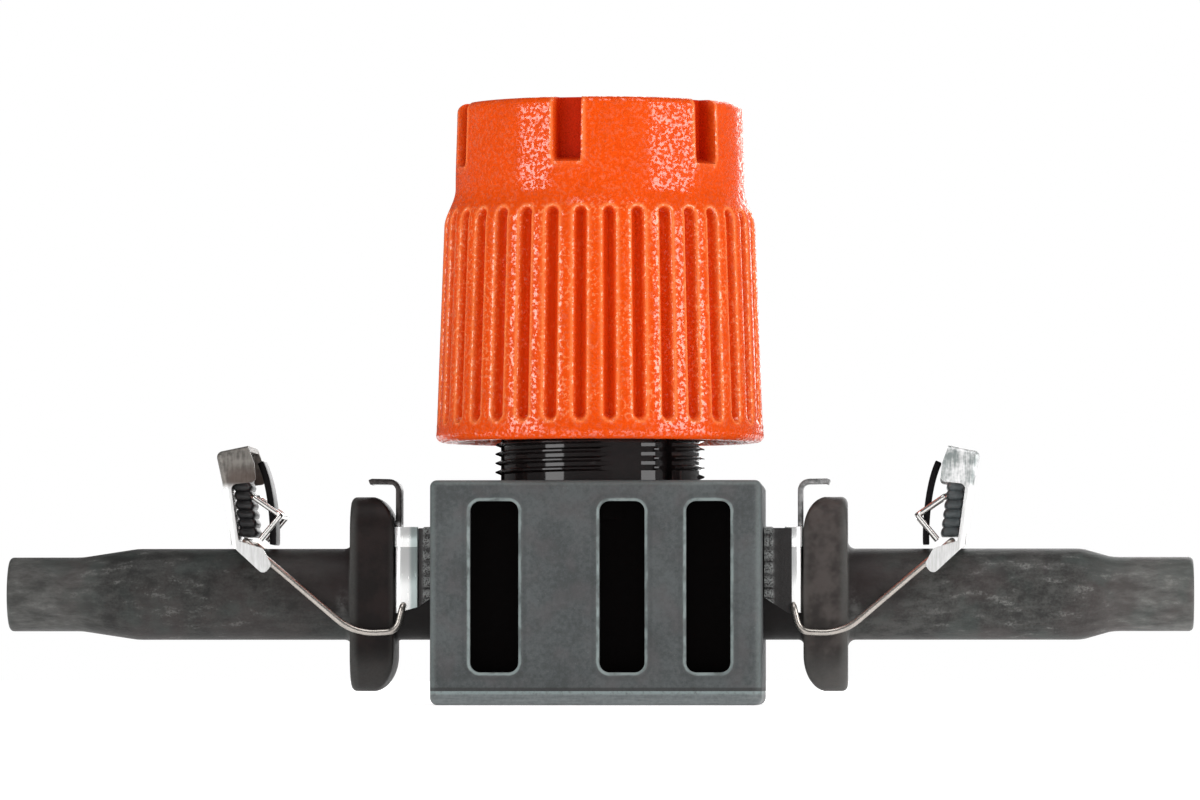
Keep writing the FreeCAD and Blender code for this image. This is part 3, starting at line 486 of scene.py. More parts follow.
def saddle_finish():
    """Dark rubber whose raised beads are rubbed pale."""
    finish = Finish("saddle_rubber", 0.5, Specular_IOR_Level=0.4)
    bead = finish.painted("edge")
    fine = finish.noise(9.0, 4.0, 0.7)
    base = finish.mix(fine, (0.008, 0.006, 0.006), (0.022, 0.020, 0.020))
    finish.colour(finish.mix(bead * fine.step(0.38, 0.58), base, (0.24, 0.25, 0.245)))
    finish.roughness(fine * 0.25 + 0.36)
    finish.relief(fine, 0.04, 0.7)
    return finish.material


def rubber_finish(name, colour, rough):
    """Dull rubber with a little dust."""
    finish = Finish(name, rough, Specular_IOR_Level=0.5)
    fine = finish.noise(9.0, 4.0, 0.7)
    dust = finish.noise(1.4, 3.0).step(0.50, 0.75)
    base = finish.mix(fine, tone(colour, 0.7), tone(colour, 1.5))
    finish.colour(finish.mix(dust * 0.3, base, tone(colour, 3.5)))
    finish.roughness(fine * 0.25 + rough - 0.12)
    finish.relief(fine, 0.03, 0.6)
    return finish.material


def plain_finish(name, colour, rough, metallic=0.0):
    """A quiet finish with a little mottling, for the pieces inside."""
    finish = Finish(name, rough, metallic)
    fine = finish.noise(6.0, 4.0, 0.6)
    finish.colour(finish.mix(fine, tone(colour, 0.85), tone(colour, 1.1)))
    finish.roughness(fine * 0.15 + rough - 0.07)
    finish.relief(fine, 0.01, 0.4)
    return finish.material


def dress(node, material):
    """Give a carried-over piece this finish."""
    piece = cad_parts[node]
    piece.data.materials.clear()
    piece.data.materials.append(material)


# ---------------------------------------------------------------- mesh helpers

def finished(bm, name, material, body, stands_for, smooth_angle=32.0):
    """Close a mesh, place it in the scene and tie it to its body."""
    bmesh.ops.remove_doubles(bm, verts=bm.verts, dist=1e-7)
    bmesh.ops.recalc_face_normals(bm, faces=bm.faces)
    mesh = bpy.data.meshes.new(name)
    bm.to_mesh(mesh)
    bm.free()
    mesh.materials.append(material)
    mesh.shade_smooth()
    mesh.set_sharp_from_angle(angle=math.radians(smooth_angle))
    piece = bpy.data.objects.new(name, mesh)
    bpy.context.scene.collection.objects.link(piece)
    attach(piece, body)
    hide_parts(*stands_for)
    return piece


def soften(bm, degrees, width, segments):
    """Round the edges whose faces turn by more than some degrees."""
    bmesh.ops.bevel(bm, geom=sharp_edges(bm, degrees), offset=width, offset_type="OFFSET",
                    affect="EDGES", segments=segments, profile=0.5, material=-1, clamp_overlap=True)


def sharp_edges(bm, degrees):
    """Edges whose two faces turn by more than some degrees."""
    limit = math.radians(degrees)
    return [edge for edge in bm.edges
            if len(edge.link_faces) == 2 and edge.calc_face_angle(0.0) > limit]


def rounded(corners, segments=6):
    """An outline with arcs: each corner is (across, up, radius)."""
    points = []
    count = len(corners)
    for index, (across, up, radius) in enumerate(corners):
        here = Vector((across, up))
        if radius <= 0:
            points.append(here)
            continue
        back = (Vector(corners[index - 1][:2]) - here).normalized()
        ahead = (Vector(corners[(index + 1) % count][:2]) - here).normalized()
        half = back.angle(ahead) / 2
        centre = here + (back + ahead).normalized() * (radius / math.sin(half))
        start = here + back * (radius / math.tan(half)) - centre
        end = here + ahead * (radius / math.tan(half)) - centre
        sweep = start.angle_signed(end)
        for step in range(segments + 1):
            turn = Matrix.Rotation(-sweep * step / segments, 2)
            points.append(centre + turn @ start)
    return points


def arc(centre, radius, start, end, steps=6):
    """Points round part of a circle, angles in degrees."""
    turns = (math.radians(start + (end - start) * step / steps) for step in range(steps + 1))
    return [(centre[0] + radius * math.cos(turn), centre[1] + radius * math.sin(turn)) for turn in turns]


def only(items, kind):
    """The vertices, edges or faces among what an operator returns."""
    return [item for item in items if isinstance(item, kind)]


def grow(bm, face):
    """Extrude one face in place: its new vertices and the new face."""
    grown = bmesh.ops.extrude_face_region(bm, geom=[face])["geom"]
    return only(grown, bmesh.types.BMVert), only(grown, bmesh.types.BMFace)[0]


def slab(bm, outline, low, high):
    """An outline in X and Z, made solid between two places along Y."""
    face = bm.faces.new([bm.verts.new((point[0], low, point[1])) for point in outline])
    moved, _ = grow(bm, face)
    bmesh.ops.translate(bm, verts=moved, vec=(0, high - low, 0))


def strip(bm, places, reach):
    """A sheet with no thickness: a line through some places, extruded by a vector."""
    line = [bm.verts.new(place) for place in places]
    edges = [bm.edges.new(pair) for pair in zip(line, line[1:])]
    grown = bmesh.ops.extrude_edge_only(bm, edges=edges)["geom"]
    moved = only(grown, bmesh.types.BMVert)
    bmesh.ops.translate(bm, verts=moved, vec=reach)
    faces = only(grown, bmesh.types.BMFace)
    bmesh.ops.recalc_face_normals(bm, faces=faces)
    return line + moved, faces


def spun(places, axis, steps, closed=False):
    """A line through some places, spun once round an axis through the origin."""
    bm = bmesh.new()
    line = [bm.verts.new(place) for place in places]
    ahead = line[1:] + line[:1] if closed else line[1:]
    edges = [bm.edges.new(pair) for pair in zip(line, ahead)]
    bmesh.ops.spin(bm, geom=line + edges, cent=(0, 0, 0), axis=axis, dvec=(0, 0, 0),
                   angle=2 * math.pi, steps=steps, use_merge=True, use_duplicate=False)
    return bm


def to_side(bm, sign):
    """Millimetres to metres, on the left or the right of the housing."""
    bmesh.ops.scale(bm, vec=(sign * MM, MM, MM), verts=bm.verts)


# ---------------------------------------------------------------- adjuster cap

def smooth(value, low, high):
    """Smooth rise from 0 at low to 1 at high."""
    share = min(max((value - low) / (high - low), 0.0), 1.0)
    return share * share * (3 - 2 * share)


def rows(*stretches):
    """Heights spread evenly over each (from, to, count) stretch."""
    heights = []
    for start, end, count in stretches:
        heights += [start + (end - start) * step / count for step in range(count)]
    return heights


def cap_radius(height):
    """Outer radius of the cap at a height, in millimetres."""
    head_top, flare_top, skirt_top = 33.0, 28.35, 26.4
    head = 7.84 + 0.10 * smooth(head_top - height, 0.0, 4.5)
    flare = smooth(flare_top - height, 0.0, 2.1)
    skirt = 8.56 + 0.42 * (skirt_top - height) / 11.5
    return head * (1 - flare) + skirt * flare


CAP_FLUTE_TOP = 26.95
CAP_FLUTE_LOW = 15.62
CAP_SHOULDER = 28.0
CAP_NOTCH_LOW = 29.45
# Where the mesh's columns stand about a flute, and how they crowd at a notch's edges, in degrees.
FLUTE_COLUMNS = (-5.29, -4.5, -3.7, -3.0, -2.55, -2.2, -1.85, -1.45, -0.8,
                 0.0, 0.8, 1.45, 1.85, 2.2, 2.55, 3.0, 3.7, 4.5)
NOTCH_WARP = ((0.0, 0.0), (4.2, 4.9), (13.0, 6.6), (30.0, 30.0))


def cap_profile():
    """The cap's turning outline from the middle of its lid, round the skirt and back inside."""
    top, low = CAP_HIGH.z / MM, CAP_LOW.z / MM
    rim, edge, lid, mouth, bore = 0.42, 0.38, 1.4, 7.8, 6.78
    crown = cap_radius(top) - rim
    points = [(0.0, top), (5.0, top), (6.6, top), (7.0, top), (crown, top)]
    points += arc((crown, top - rim), rim, 90, 0)[1:]
    heights = rows((top - rim - 0.1, 30.7, 6), (30.7, 29.7, 18), (29.7, 28.3, 5), (28.3, 27.5, 6),
                   (27.5, 26.3, 22), (26.3, 16.5, 12), (16.5, 15.5, 18), (15.5, low + 0.45, 4))
    points += [(cap_radius(height), height) for height in heights]
    points += arc((cap_radius(low) - edge, low + edge), edge, 0, -90)
    points += [(mouth + 0.15, low), (mouth, low + 0.15), (mouth, low + 0.7), (7.45, 25.6), (bore, 27.4),
               (bore, top - lid), (0.0, top - lid)]
    return points


def nearest(angle, first, count):
    """Signed angle from the nearest of some evenly spaced places."""
    pitch = 2 * math.pi / count
    return (angle - first + pitch / 2) % pitch - pitch / 2


def warped(angle, table):
    """Move an angle, in degrees, along a table of (before, after) places."""
    size = abs(angle)
    for (start, start_to), (end, end_to) in zip(table, table[1:]):
        if size <= end:
            share = (size - start) / (end - start)
            return math.copysign(start_to + (end_to - start_to) * share, angle)
    return angle


def cap_angle(column, height, cap):
    """Where a column of the cap stands: crowded at flute edges low down and at notch edges above."""
    per_flute = len(FLUTE_COLUMNS)
    flute, place = divmod(column, per_flute)
    pitch = 2 * math.pi / cap.flute_count
    fluted = cap.flute_turn + flute * pitch + math.radians(FLUTE_COLUMNS[place])
    even = cap.flute_turn + (column - (per_flute - 1) / 2) * pitch / per_flute
    offset = nearest(even, cap.notch_turn, cap.notch_count)
    notched = even - offset + math.radians(warped(math.degrees(offset), NOTCH_WARP))
    share = smooth(height, CAP_SHOULDER, CAP_SHOULDER + 1.5)
    return fluted * (1 - share) + notched * share


def flute_depth(angle, height, radius, cap):
    """How far inside a flute this is (0 to 1), how near its raised edge, and the rib's fall there."""
    across = abs(nearest(angle, cap.flute_turn, cap.flute_count)) * radius
    half = cap.flute_width / MM / 2
    half_pitch = math.pi * radius / cap.flute_count
    past = max(height - (CAP_FLUTE_TOP - half), (CAP_FLUTE_LOW + half * 0.5) - height, 0.0)
    away = math.hypot(across, past)
    lip_place, lip_width = half * 1.34, 0.10
    groove = 1 - smooth(away, half * 0.62, half * 1.12)
    lip = math.exp(-((away - lip_place) / lip_width) ** 2)
    fall = max(1 - across / half_pitch, 0.0) ** 2 * (1 - smooth(past, 0.0, 0.5))
    return groove, lip, fall


def notch_share(angle, height, radius, cap):
    """How far inside a notch this is (0 to 1), and how near its raised rim."""
    half = cap.notch_width / MM / 2
    corner, lip_place, lip_width = 0.38, 0.16, 0.10
    across = abs(nearest(angle, cap.notch_turn, cap.notch_count)) * radius
    side = across - (half - corner)
    end = (CAP_NOTCH_LOW + corner) - height
    away = math.hypot(max(side, 0.0), max(end, 0.0)) + min(max(side, end), 0.0) - corner
    return 1 - smooth(away, -0.05, 0.03), math.exp(-((away - lip_place) / lip_width) ** 2)


def shape_cap(bm, columns, cap):
    """Cut the flutes and the notches into the turned blank."""
    top = CAP_HIGH.z / MM
    lid_edge, inner_wall, lip_height = 7.0, 7.99, (0.05, 0.025)
    layers = {name: bm.verts.layers.float.new(name) for name in ("notch", "flute", "edge")}
    for vert in bm.verts:
        radius = math.hypot(vert.co.x, vert.co.y)
        if radius < 1e-6:
            continue
        height = vert.co.z
        turns = math.atan2(vert.co.y, vert.co.x) % (2 * math.pi) / (2 * math.pi)
        angle = cap_angle(round(turns * columns) % columns, height, cap)
        if height > CAP_SHOULDER:
            outside = smooth(radius, lid_edge - 0.1, lid_edge + 0.1)
        else:
            outside = float(radius > inner_wall)
        if height > CAP_SHOULDER + 0.6 and outside:
            share, rim = notch_share(angle, height, cap_radius(height), cap)
            floor = cap.notch_floor / MM + 0.02 * (radius - lid_edge)
            vert[layers["notch"]] = smooth(share, 0.05, 0.6)
            vert[layers["edge"]] = rim * (1 - share)
            radius += rim * lip_height[0] * smooth(radius, 7.5, 7.8) * (height < top - 0.3)
            radius = radius + (floor - radius) * share if radius > floor else radius
        elif outside and CAP_FLUTE_LOW - 1 < height < CAP_FLUTE_TOP + 1:
            groove, lip, fall = flute_depth(angle, height, radius, cap)
            vert[layers["flute"]] = groove
            vert[layers["edge"]] = lip * (1 - groove)
            radius += lip * lip_height[1] - fall * cap.rib_crown / MM - groove * cap.flute_depth / MM
        vert.co = (radius * math.cos(angle), radius * math.sin(angle), height)


class EMITTER_OT_adjuster_cap(bpy.types.Operator):
    """Turn the orange cap and cut its flutes and rim notches"""

    bl_idname = "emitter.adjuster_cap"
    bl_label = "Adjuster cap"

    def execute(self, context):
        cap = context.scene.emitter_cap
        colours = context.scene.emitter_finish
        columns = cap.flute_count * len(FLUTE_COLUMNS)
        bm = spun([(across, 0, up) for across, up in cap_profile()], (0, 0, 1), columns)
        bmesh.ops.remove_doubles(bm, verts=bm.verts, dist=1e-5)
        shape_cap(bm, columns, cap)
        bmesh.ops.scale(bm, vec=(MM, MM, MM), verts=bm.verts)
        finished(bm, "adjuster_grip", cap_finish(colours.cap, colours.notch), "cap", ["adjuster_cap"],
                 smooth_angle=50)
        # the core takes the notches' darker red, a painted shade
        core = plain_finish("core_red", (0.50, 0.024, 0.002), 0.45)
        for node in ("cap_core", "needle_retainer"):
            dress(node, core)
        return {"FINISHED"}


# ---------------------------------------------------------------- housing, neck and spigots

class EMITTER_OT_housing(bpy.types.Operator):
    """Finish the housing shell and its base cover"""

    bl_idname = "emitter.housing"
    bl_label = "Housing"

    def execute(self, context):
        colours = context.scene.emitter_finish
        dress("housing_shell", housing_finish(colours.housing))
        dress("base_cover", cover_finish(colours.housing))
        return {"FINISHED"}


class EMITTER_OT_valve(bpy.types.Operator):
    """Finish the valve body and the pieces inside it"""

    bl_idname = "emitter.valve"
    bl_label = "Valve body"

    def execute(self, context):
        dress("valve_body", neck_finish(context.scene.emitter_finish.neck))
        dress("orifice_seat", plain_finish("seat_brass", (0.62, 0.45, 0.20), 0.3, 1.0))
        dress("metering_needle", plain_finish("needle_white", (0.68, 0.68, 0.64), 0.4))
        seal = rubber_finish("seal_rubber", (0.012, 0.012, 0.012), 0.5)
        for node in ("stem_seal", "inlet_o_ring", "outlet_o_ring"):
            dress(node, seal)
        return {"FINISHED"}


FLANGE = (11.2, 13.6)
SPIGOT_AXIS = 6.08
STUB_RADIUS = 2.5
DISC_RADIUS = 5.0


def spigot_profile(taper_start, taper_end):
    """A spigot's turning outline about its axis: (along, radius) from the shank to the bore's end."""
    stub, disc = STUB_RADIUS, DISC_RADIUS
    shank, ring_groove, tip, bore = 1.9, 1.49, 2.03, 1.15
    start, groove_start, groove_end, collar, end = 5.05, 5.98, 6.46, 7.72, 32.5
    inner, outer = FLANGE
    inner_root, inner_rim, outer_rim, outer_root, tip_edge = 0.3, 0.22, 0.32, 0.42, 0.25
    points = [(start, bore), (start, shank), (groove_start, shank), (groove_start, ring_groove),
              (groove_end, ring_groove), (groove_end, shank), (collar, shank), (collar, stub),
              (inner - 1.0, stub), (inner - inner_root, stub)]
    points += arc((inner - inner_root, stub + inner_root), inner_root, -90, 0)[1:]
    points += [(inner, stub + 0.4 + 0.15 * step) for step in range(12)]
    points += arc((inner + inner_rim, disc - inner_rim), inner_rim, 180, 90, 5)
    points += [(inner + 0.45, disc), (inner + 0.8, disc), (outer - 0.8, disc), (outer - 0.5, disc)]
    points += arc((outer - outer_rim, disc - outer_rim), outer_rim, 90, 0, 5)
    points += [(outer, disc - 0.4 - 0.2 * step) for step in range(8)]
    points += arc((outer + outer_root, stub + outer_root), outer_root, 180, 270)
    points += [(taper_start - 0.3, stub), (taper_start, stub - 0.01), (taper_start + 0.3, stub - 0.05),
               (taper_end - 0.3, tip + 0.05), (taper_end, tip + 0.01), (taper_end + 0.3, tip)]
    points += arc((end - tip_edge, tip - tip_edge), tip_edge, 90, 0, 5)
    return [*points, (end, bore + 0.15), (end - 0.12, bore)]


def flange_reach(angle):
    """How far the flange's rounded outline stands from the axis at an angle from level."""
    half, reach, corner = 2.6, 5.32, 1.8
    across, up = abs(math.cos(angle)), abs(math.sin(angle))
    to_side = half / max(across, 1e-6)
    to_top = reach / max(up, 1e-6)
    if to_side * up > reach - corner and to_top * across > half - corner:
        corner_across, corner_up = half - corner, reach - corner
        along = corner_across * across + corner_up * up
        off = corner_across ** 2 + corner_up ** 2 - corner ** 2
        return along + math.sqrt(max(along * along - off, 0.0))
    return min(to_side, to_top)


def shape_flange(vert):
    """Spread a turned disc to the flange's outline, and curve its housing side away."""
    inner, outer = FLANGE
    curve_start, curve_height, curve_depth = 3.35, 2.0, 1.35
    radius = math.hypot(vert.co.y, vert.co.z)
    if not (inner - 0.31 <= vert.co.x <= outer + 0.43 and radius > STUB_RADIUS + 1e-4):
        return
    angle = math.atan2(vert.co.z, vert.co.y)
    share = (radius - STUB_RADIUS) / (DISC_RADIUS - STUB_RADIUS)
    reach = STUB_RADIUS + (flange_reach(angle) - STUB_RADIUS) * share
    turn = min(max((abs(reach * math.sin(angle)) - curve_start) / curve_height, 0.0), 1.0)
    lean = curve_depth * (1 - math.sqrt(1 - 0.98 * turn * turn))
    vert.co.x += lean * max(0.0, 1 - max(vert.co.x - inner, 0.0) / (outer - inner - 0.4))
    vert.co.y = reach * math.cos(angle)
    vert.co.z = reach * math.sin(angle)


class EMITTER_OT_spigots(bpy.types.Operator):
    """Turn the two hose spigots and spread their flanges"""

    bl_idname = "emitter.spigots"
    bl_label = "Hose spigots"

    def execute(self, context):
        colour = context.scene.emitter_finish.spigot
        columns = 192
        # Per side: name, sign, taper, painted side light (the outlet painted brighter as lit) and the flange
        # colour, painted darker on the inlet as shade.
        looks = (("inlet", -1, (25.45, 28.46), 1.0, (0.010, 0.0055, 0.005)),
                 ("outlet", 1, (26.3, 28.2), 1.45, (0.052, 0.044, 0.041)))
        for name, sign, taper, side_light, flange_colour_side_lit in looks:
            outline = [(along, radius, 0) for along, radius in spigot_profile(*taper)]
            bm = spun(outline, (1, 0, 0), columns, closed=True)
            for vert in bm.verts:
                shape_flange(vert)
            bmesh.ops.translate(bm, verts=bm.verts, vec=(0, 0, SPIGOT_AXIS))
            to_side(bm, sign)
            finished(bm, f"{name}_spigot_turned", spigot_finish(f"{name}_grey", colour, side_light, flange_colour_side_lit), "root",
                     [f"{name}_spigot"], smooth_angle=50)
        return {"FINISHED"}


# ---------------------------------------------------------------- hose clips

SADDLE_START = 9.08
SADDLE_HALF = 3.0
SADDLE_LOW, SADDLE_HIGH = 5.16, 9.74
SADDLE_BEAD = 0.16


def saddle_outline():
    """The saddle pad seen along the spigot: an arch, from its right foot over the top."""
    half, low, high, arch_radius = SADDLE_HALF, SADDLE_LOW, SADDLE_HIGH, 2.53
    steps = 60
    points = [(half, low + (high - low) * step / steps) for step in range(steps)]
    points += [(half - 2 * half * step / steps, high) for step in range(steps)]
    points += [(-half, high - (high - low) * step / steps) for step in range(steps + 1)]
    under = arc((0.0, SPIGOT_AXIS), arch_radius, 180, 0, 32)
    return [*points, (-arch_radius, low), *under, (arch_radius, low)]


def shape_saddle(vert, pitch, layer):
    """Sink the rubber between its beads, which stand along the edge nearest the housing."""
    beads_end, foot, rise, back = 9.62, 5.9, 0.7, 10.15
    beaded = smooth(beads_end - vert.co.x, 0.0, 0.12)
    side = SADDLE_HALF - SADDLE_BEAD
    across, up = abs(vert.co.y), vert.co.z
    if across > SADDLE_HALF - 1e-3 and up < SADDLE_HIGH - 1e-3:
        wave = abs(math.sin(math.pi * (up - SADDLE_LOW - 0.5) / pitch)) ** 0.6
        vert[layer] = beaded * wave
        vert.co.y = math.copysign(side + SADDLE_BEAD * beaded * wave, vert.co.y)
    elif up > SADDLE_HIGH - 1e-3:
        wave = abs(math.sin(math.pi * across / pitch)) ** 0.6
        vert[layer] = beaded * wave * 0.6
        vert.co.z = SADDLE_HIGH - 0.10 + 0.10 * beaded * wave
        vert.co.y = math.copysign(min(across, side), vert.co.y)
    if up < foot:
        vert.co.z += rise * (foot - up) / (foot - SADDLE_LOW) * (back - vert.co.x) / (back - SADDLE_START)


class EMITTER_OT_saddle_pads(bpy.types.Operator):
    """Make the beaded rubber pads between the brackets and the housing"""

    bl_idname = "emitter.saddle_pads"
    bl_label = "Saddle pads"

    def execute(self, context):
        pitch = context.scene.emitter_clip.saddle_pitch / MM
        material = saddle_finish()
        start, beads = SADDLE_START, (0.06, 0.14, 0.24, 0.34, 0.42, 0.50, 0.58)
        ends, laps = (9.80, 10.15), (0.0, 0.42)
        for (side, sign), end, lap in zip(SIDES, ends, laps):
            stations = [start, *(start + step for step in beads), (start + beads[-1] + end) / 2, end]
            bm = bmesh.new()
            layer = bm.verts.layers.float.new("edge")
            face = bm.faces.new([bm.verts.new((start, across, up)) for across, up in saddle_outline()])
            for here, there in zip(stations, stations[1:]):
                moved, ahead = grow(bm, face)
                bmesh.ops.translate(bm, verts=moved, vec=(there - here, 0, 0))
                if here > start:
                    bmesh.ops.delete(bm, geom=[face], context="FACES_ONLY")
                face = ahead
            for vert in bm.verts:
                on_rim = abs(vert.co.y) > SADDLE_HALF - 0.1 or vert.co.z > SADDLE_HIGH - 0.04
                if vert.co.x > end - 0.01 and on_rim:
                    vert.co.x += lap
                shape_saddle(vert, pitch, layer)
            to_side(bm, sign)
            finished(bm, f"{side}_saddle", material, "root", [f"{side}_saddle_pad"],
                     smooth_angle=45)
        return {"FINISHED"}


def folded_sheet(bm, places, reach, thick):
    """A sheet that a line through some places sweeps, with its thickness centred on it."""
    verts, faces = strip(bm, places, reach)
    for vert in verts:
        vert.normal_update()
    for vert, shift in [(vert, vert.normal * (thick / 2)) for vert in verts]:
        vert.co += shift
    bmesh.ops.solidify(bm, geom=faces, thickness=thick)


def bracket_mesh(leg_end):
    """One clip bracket on the right: a strap folded into two legs, with a hooked tongue on top."""
    bm = bmesh.new()
    sheet, fold, strap_out, leg_side = 0.24, 0.3, 11.03, 2.64
    leg_low, strap_low, strap_high, lap = 5.0, 8.62, 9.74, 0.02
    plan = [(leg_end, -leg_side - 0.02), (leg_end + 0.15, -leg_side), (10.55, -leg_side)]
    plan += arc((strap_out - fold, fold - leg_side), fold, -90, 0)
    half_strap = len(plan) - 2
    plan += [(across, -along) for across, along in reversed(plan)]
    folded_sheet(bm, [(across, along, strap_low) for across, along in plan], (0, 0, strap_high - strap_low),
                 sheet)
    for sign in (-1, 1):
        leg = [(across, sign * along, leg_low) for across, along in plan[:half_strap]]
        folded_sheet(bm, leg, (0, 0, strap_low + lap - leg_low), sheet)
    tongue, tongue_half, bend = 0.28, 1.2, 0.5
    hook = arc((11.52, 11.75), bend, 180, 90, 8)
    spine = [(11.02, 8.7), (11.02, 11.6), *hook, (12.45, 12.27), (12.62, 12.2)]
    folded_sheet(bm, [(across, -tongue_half, up) for across, up in spine], (0, 2 * tongue_half, 0), tongue)
    for vert in bm.verts:
        if vert.co.z < leg_low + 0.5 and abs(vert.co.y) > 2.4:
            vert.co.z += 0.28 * (11.1 - vert.co.x)
    soften(bm, 60, 0.045, 2)
    return bm


class EMITTER_OT_brackets(bpy.types.Operator):
    """Fold the clip brackets, and finish the wire bails and the latch loops"""

    bl_idname = "emitter.brackets"
    bl_label = "Brackets and wires"

    def execute(self, context):
        wire = steel_finish("wire_steel", (0.54, 0.50, 0.46), 0.26, (0.8, 6.0, 6.0))
        loop = steel_finish("loop_steel", (0.80, 0.79, 0.77), 0.18, (0.8, 6.0, 6.0))
        looks = ((9.85, (0.030, 0.026, 0.025)), (10.2, (0.16, 0.16, 0.16)))
        for (side, sign), (leg_end, hook) in zip(SIDES, looks):
            bm = bracket_mesh(leg_end)
            to_side(bm, sign)
            finished(bm, f"{side}_bracket_sheet", bracket_finish(f"{side}_bracket_steel", hook), "root",
                     [f"{side}_clip_bracket"], smooth_angle=40)
            dress(f"{side}_bail_wire", wire)
            dress(f"{side}_latch_loop", loop)
        return {"FINISHED"}


LEVER_WEB = ((20.05, 8.77), (20.54, 12.20), (20.89, 13.80), (19.12, 14.16))


def lever_outline():
    """The lever's side, seen along Y: (out, up, radius of the corner)."""
    heel, back, crown_behind, crown_front = LEVER_WEB
    return [
        (18.24, 7.10, 0.30),    # toe, underneath
        (*heel, 0.0),
        (*back, 0.0),
        (*crown_behind, 0.0),
        (*crown_front, 0.0),
        (18.77, 13.20, 0.0),
        (18.66, 12.20, 0.25),
        (20.05, 12.04, 0.30),
        (19.62, 8.95, 0.20),
        (18.28, 8.55, 0.30),
        (17.80, 7.65, 0.30),    # toe, on top
    ]


def on_lever_web(face):
    """Whether a face of the lever's slab is one of those that the sheet's web follows."""
    return all(any(math.hypot(vert.co.x - out, vert.co.z - up) < 1e-4 for out, up in LEVER_WEB)
               for vert in face.verts)


class EMITTER_OT_levers(bpy.types.Operator):
    """Fold the sheet-steel lever channels"""

    bl_idname = "emitter.levers"
    bl_label = "Lever channels"

    def execute(self, context):
        clip = context.scene.emitter_clip
        material = lever_finish()
        half = 3.5
        for side, sign in SIDES:
            bm = bmesh.new()
            slab(bm, rounded(lever_outline()), -half, half)
            bmesh.ops.recalc_face_normals(bm, faces=bm.faces)
            spare = [face for face in bm.faces if abs(face.normal.y) <= 0.9 and not on_lever_web(face)]
            bmesh.ops.delete(bm, geom=spare, context="FACES_ONLY")
            soften(bm, 40, clip.bend / MM, 5)
            bmesh.ops.recalc_face_normals(bm, faces=bm.faces)
            bmesh.ops.solidify(bm, geom=list(bm.faces), thickness=clip.sheet / MM)
            soften(bm, 70, 0.05, 2)
            to_side(bm, sign)
            finished(bm, f"{side}_lever_sheet", material, f"{side}_lever", [f"{side}_lever_channel"])
        return {"FINISHED"}


def ribbed_pad(pitch):
    """One lever pad on the right, grown upwards ring by ring with a bulge for each rib."""
    low, high, taper_start = 9.22, 12.72, 12.2
    half_depth, half_width, centre, corner, lean = 0.53, 1.9, 19.20, 0.35, 0.1305
    steps = round((high - low) / pitch * 8)
    bm = bmesh.new()
    bmesh.ops.create_grid(bm, x_segments=1, y_segments=1, size=1.0)
    bmesh.ops.bevel(bm, geom=list(bm.verts), offset=corner, offset_type="OFFSET", affect="VERTICES",
                    segments=5, profile=0.5, material=-1)
    ring = list(bm.verts)
    plan = [vert.co.copy() for vert in ring]
    face = bm.faces[:][0]
    for step in range(steps + 1):
        height = low + (high - low) * step / steps
        out = centre + (height - low) * lean
        groove = 1 - abs(math.sin(math.pi * (height - low) / pitch)) ** 0.8
        taper = 1 - 0.12 * max(height - taper_start, 0) / 0.5
        depth = half_depth * taper - 0.10 * groove
        width = half_width * taper - 0.13 * groove
        for vert, spot in zip(ring, plan):
            vert.co = (out + spot.x * depth, spot.y * width, height)
        if step < steps:
            moved, face = grow(bm, face)
            spots = dict(zip(ring, plan))
            plan = [spots[min(ring, key=lambda vert: (vert.co - new.co).length)] for new in moved]
            ring = moved
    return bm


class EMITTER_OT_lever_pads(bpy.types.Operator):
    """Grow the ribbed pads inside the levers, rib by rib"""

    bl_idname = "emitter.lever_pads"
    bl_label = "Lever pads"

    def execute(self, context):
        pitch = context.scene.emitter_clip.rib_pitch / MM
        # The right pad is painted paler as lit and the left one darker as shaded.
        rubbers = (rubber_finish("left_pad_rubber", (0.013, 0.013, 0.014), 0.38),
                   rubber_finish("right_pad_rubber", (0.075, 0.088, 0.092), 0.34))
        for (side, sign), material in zip(SIDES, rubbers):
            bm = ribbed_pad(pitch)
            to_side(bm, sign)
            finished(bm, f"{side}_ribbed_pad", material, f"{side}_lever", [f"{side}_lever_pad"])
        return {"FINISHED"}


def leaf_line(steps):
    """The leaf spring's Bezier curve from its root in the lever to its free end: points in X and Z."""
    pulls = [Vector(point) for point in ((18.76, 13.24), (18.20, 12.10), (18.02, 9.90), (18.08, 8.80))]
    for share in (step / steps for step in range(steps + 1)):
        back = 1 - share
        weights = (back ** 3, 3 * share * back ** 2, 3 * share ** 2 * back, share ** 3)
        yield sum((pull * weight for pull, weight in zip(pulls, weights)), Vector((0, 0)))


class EMITTER_OT_leaf_springs(bpy.types.Operator):
    """Bend the dark leaf springs beside the lever pads"""

    bl_idname = "emitter.leaf_springs"
    bl_label = "Leaf springs"

    def execute(self, context):
        thick = context.scene.emitter_clip.leaf / MM
        material = steel_finish("leaf_dark", (0.016, 0.015, 0.016), 0.40, (6.0, 1.0, 1.0))
        half = 1.4
        for side, sign in SIDES:
            bm = bmesh.new()
            strip(bm, [(spot.x, -half, spot.y) for spot in leaf_line(28)], (0, 2 * half, 0))
            bmesh.ops.solidify(bm, geom=list(bm.faces), thickness=thick)
            bmesh.ops.recalc_face_normals(bm, faces=bm.faces)
            soften(bm, 60, 0.06, 2)
            to_side(bm, sign)
            finished(bm, f"{side}_leaf", material, f"{side}_lever", [f"{side}_leaf_spring"])
        return {"FINISHED"}


# ---------------------------------------------------------------- stage

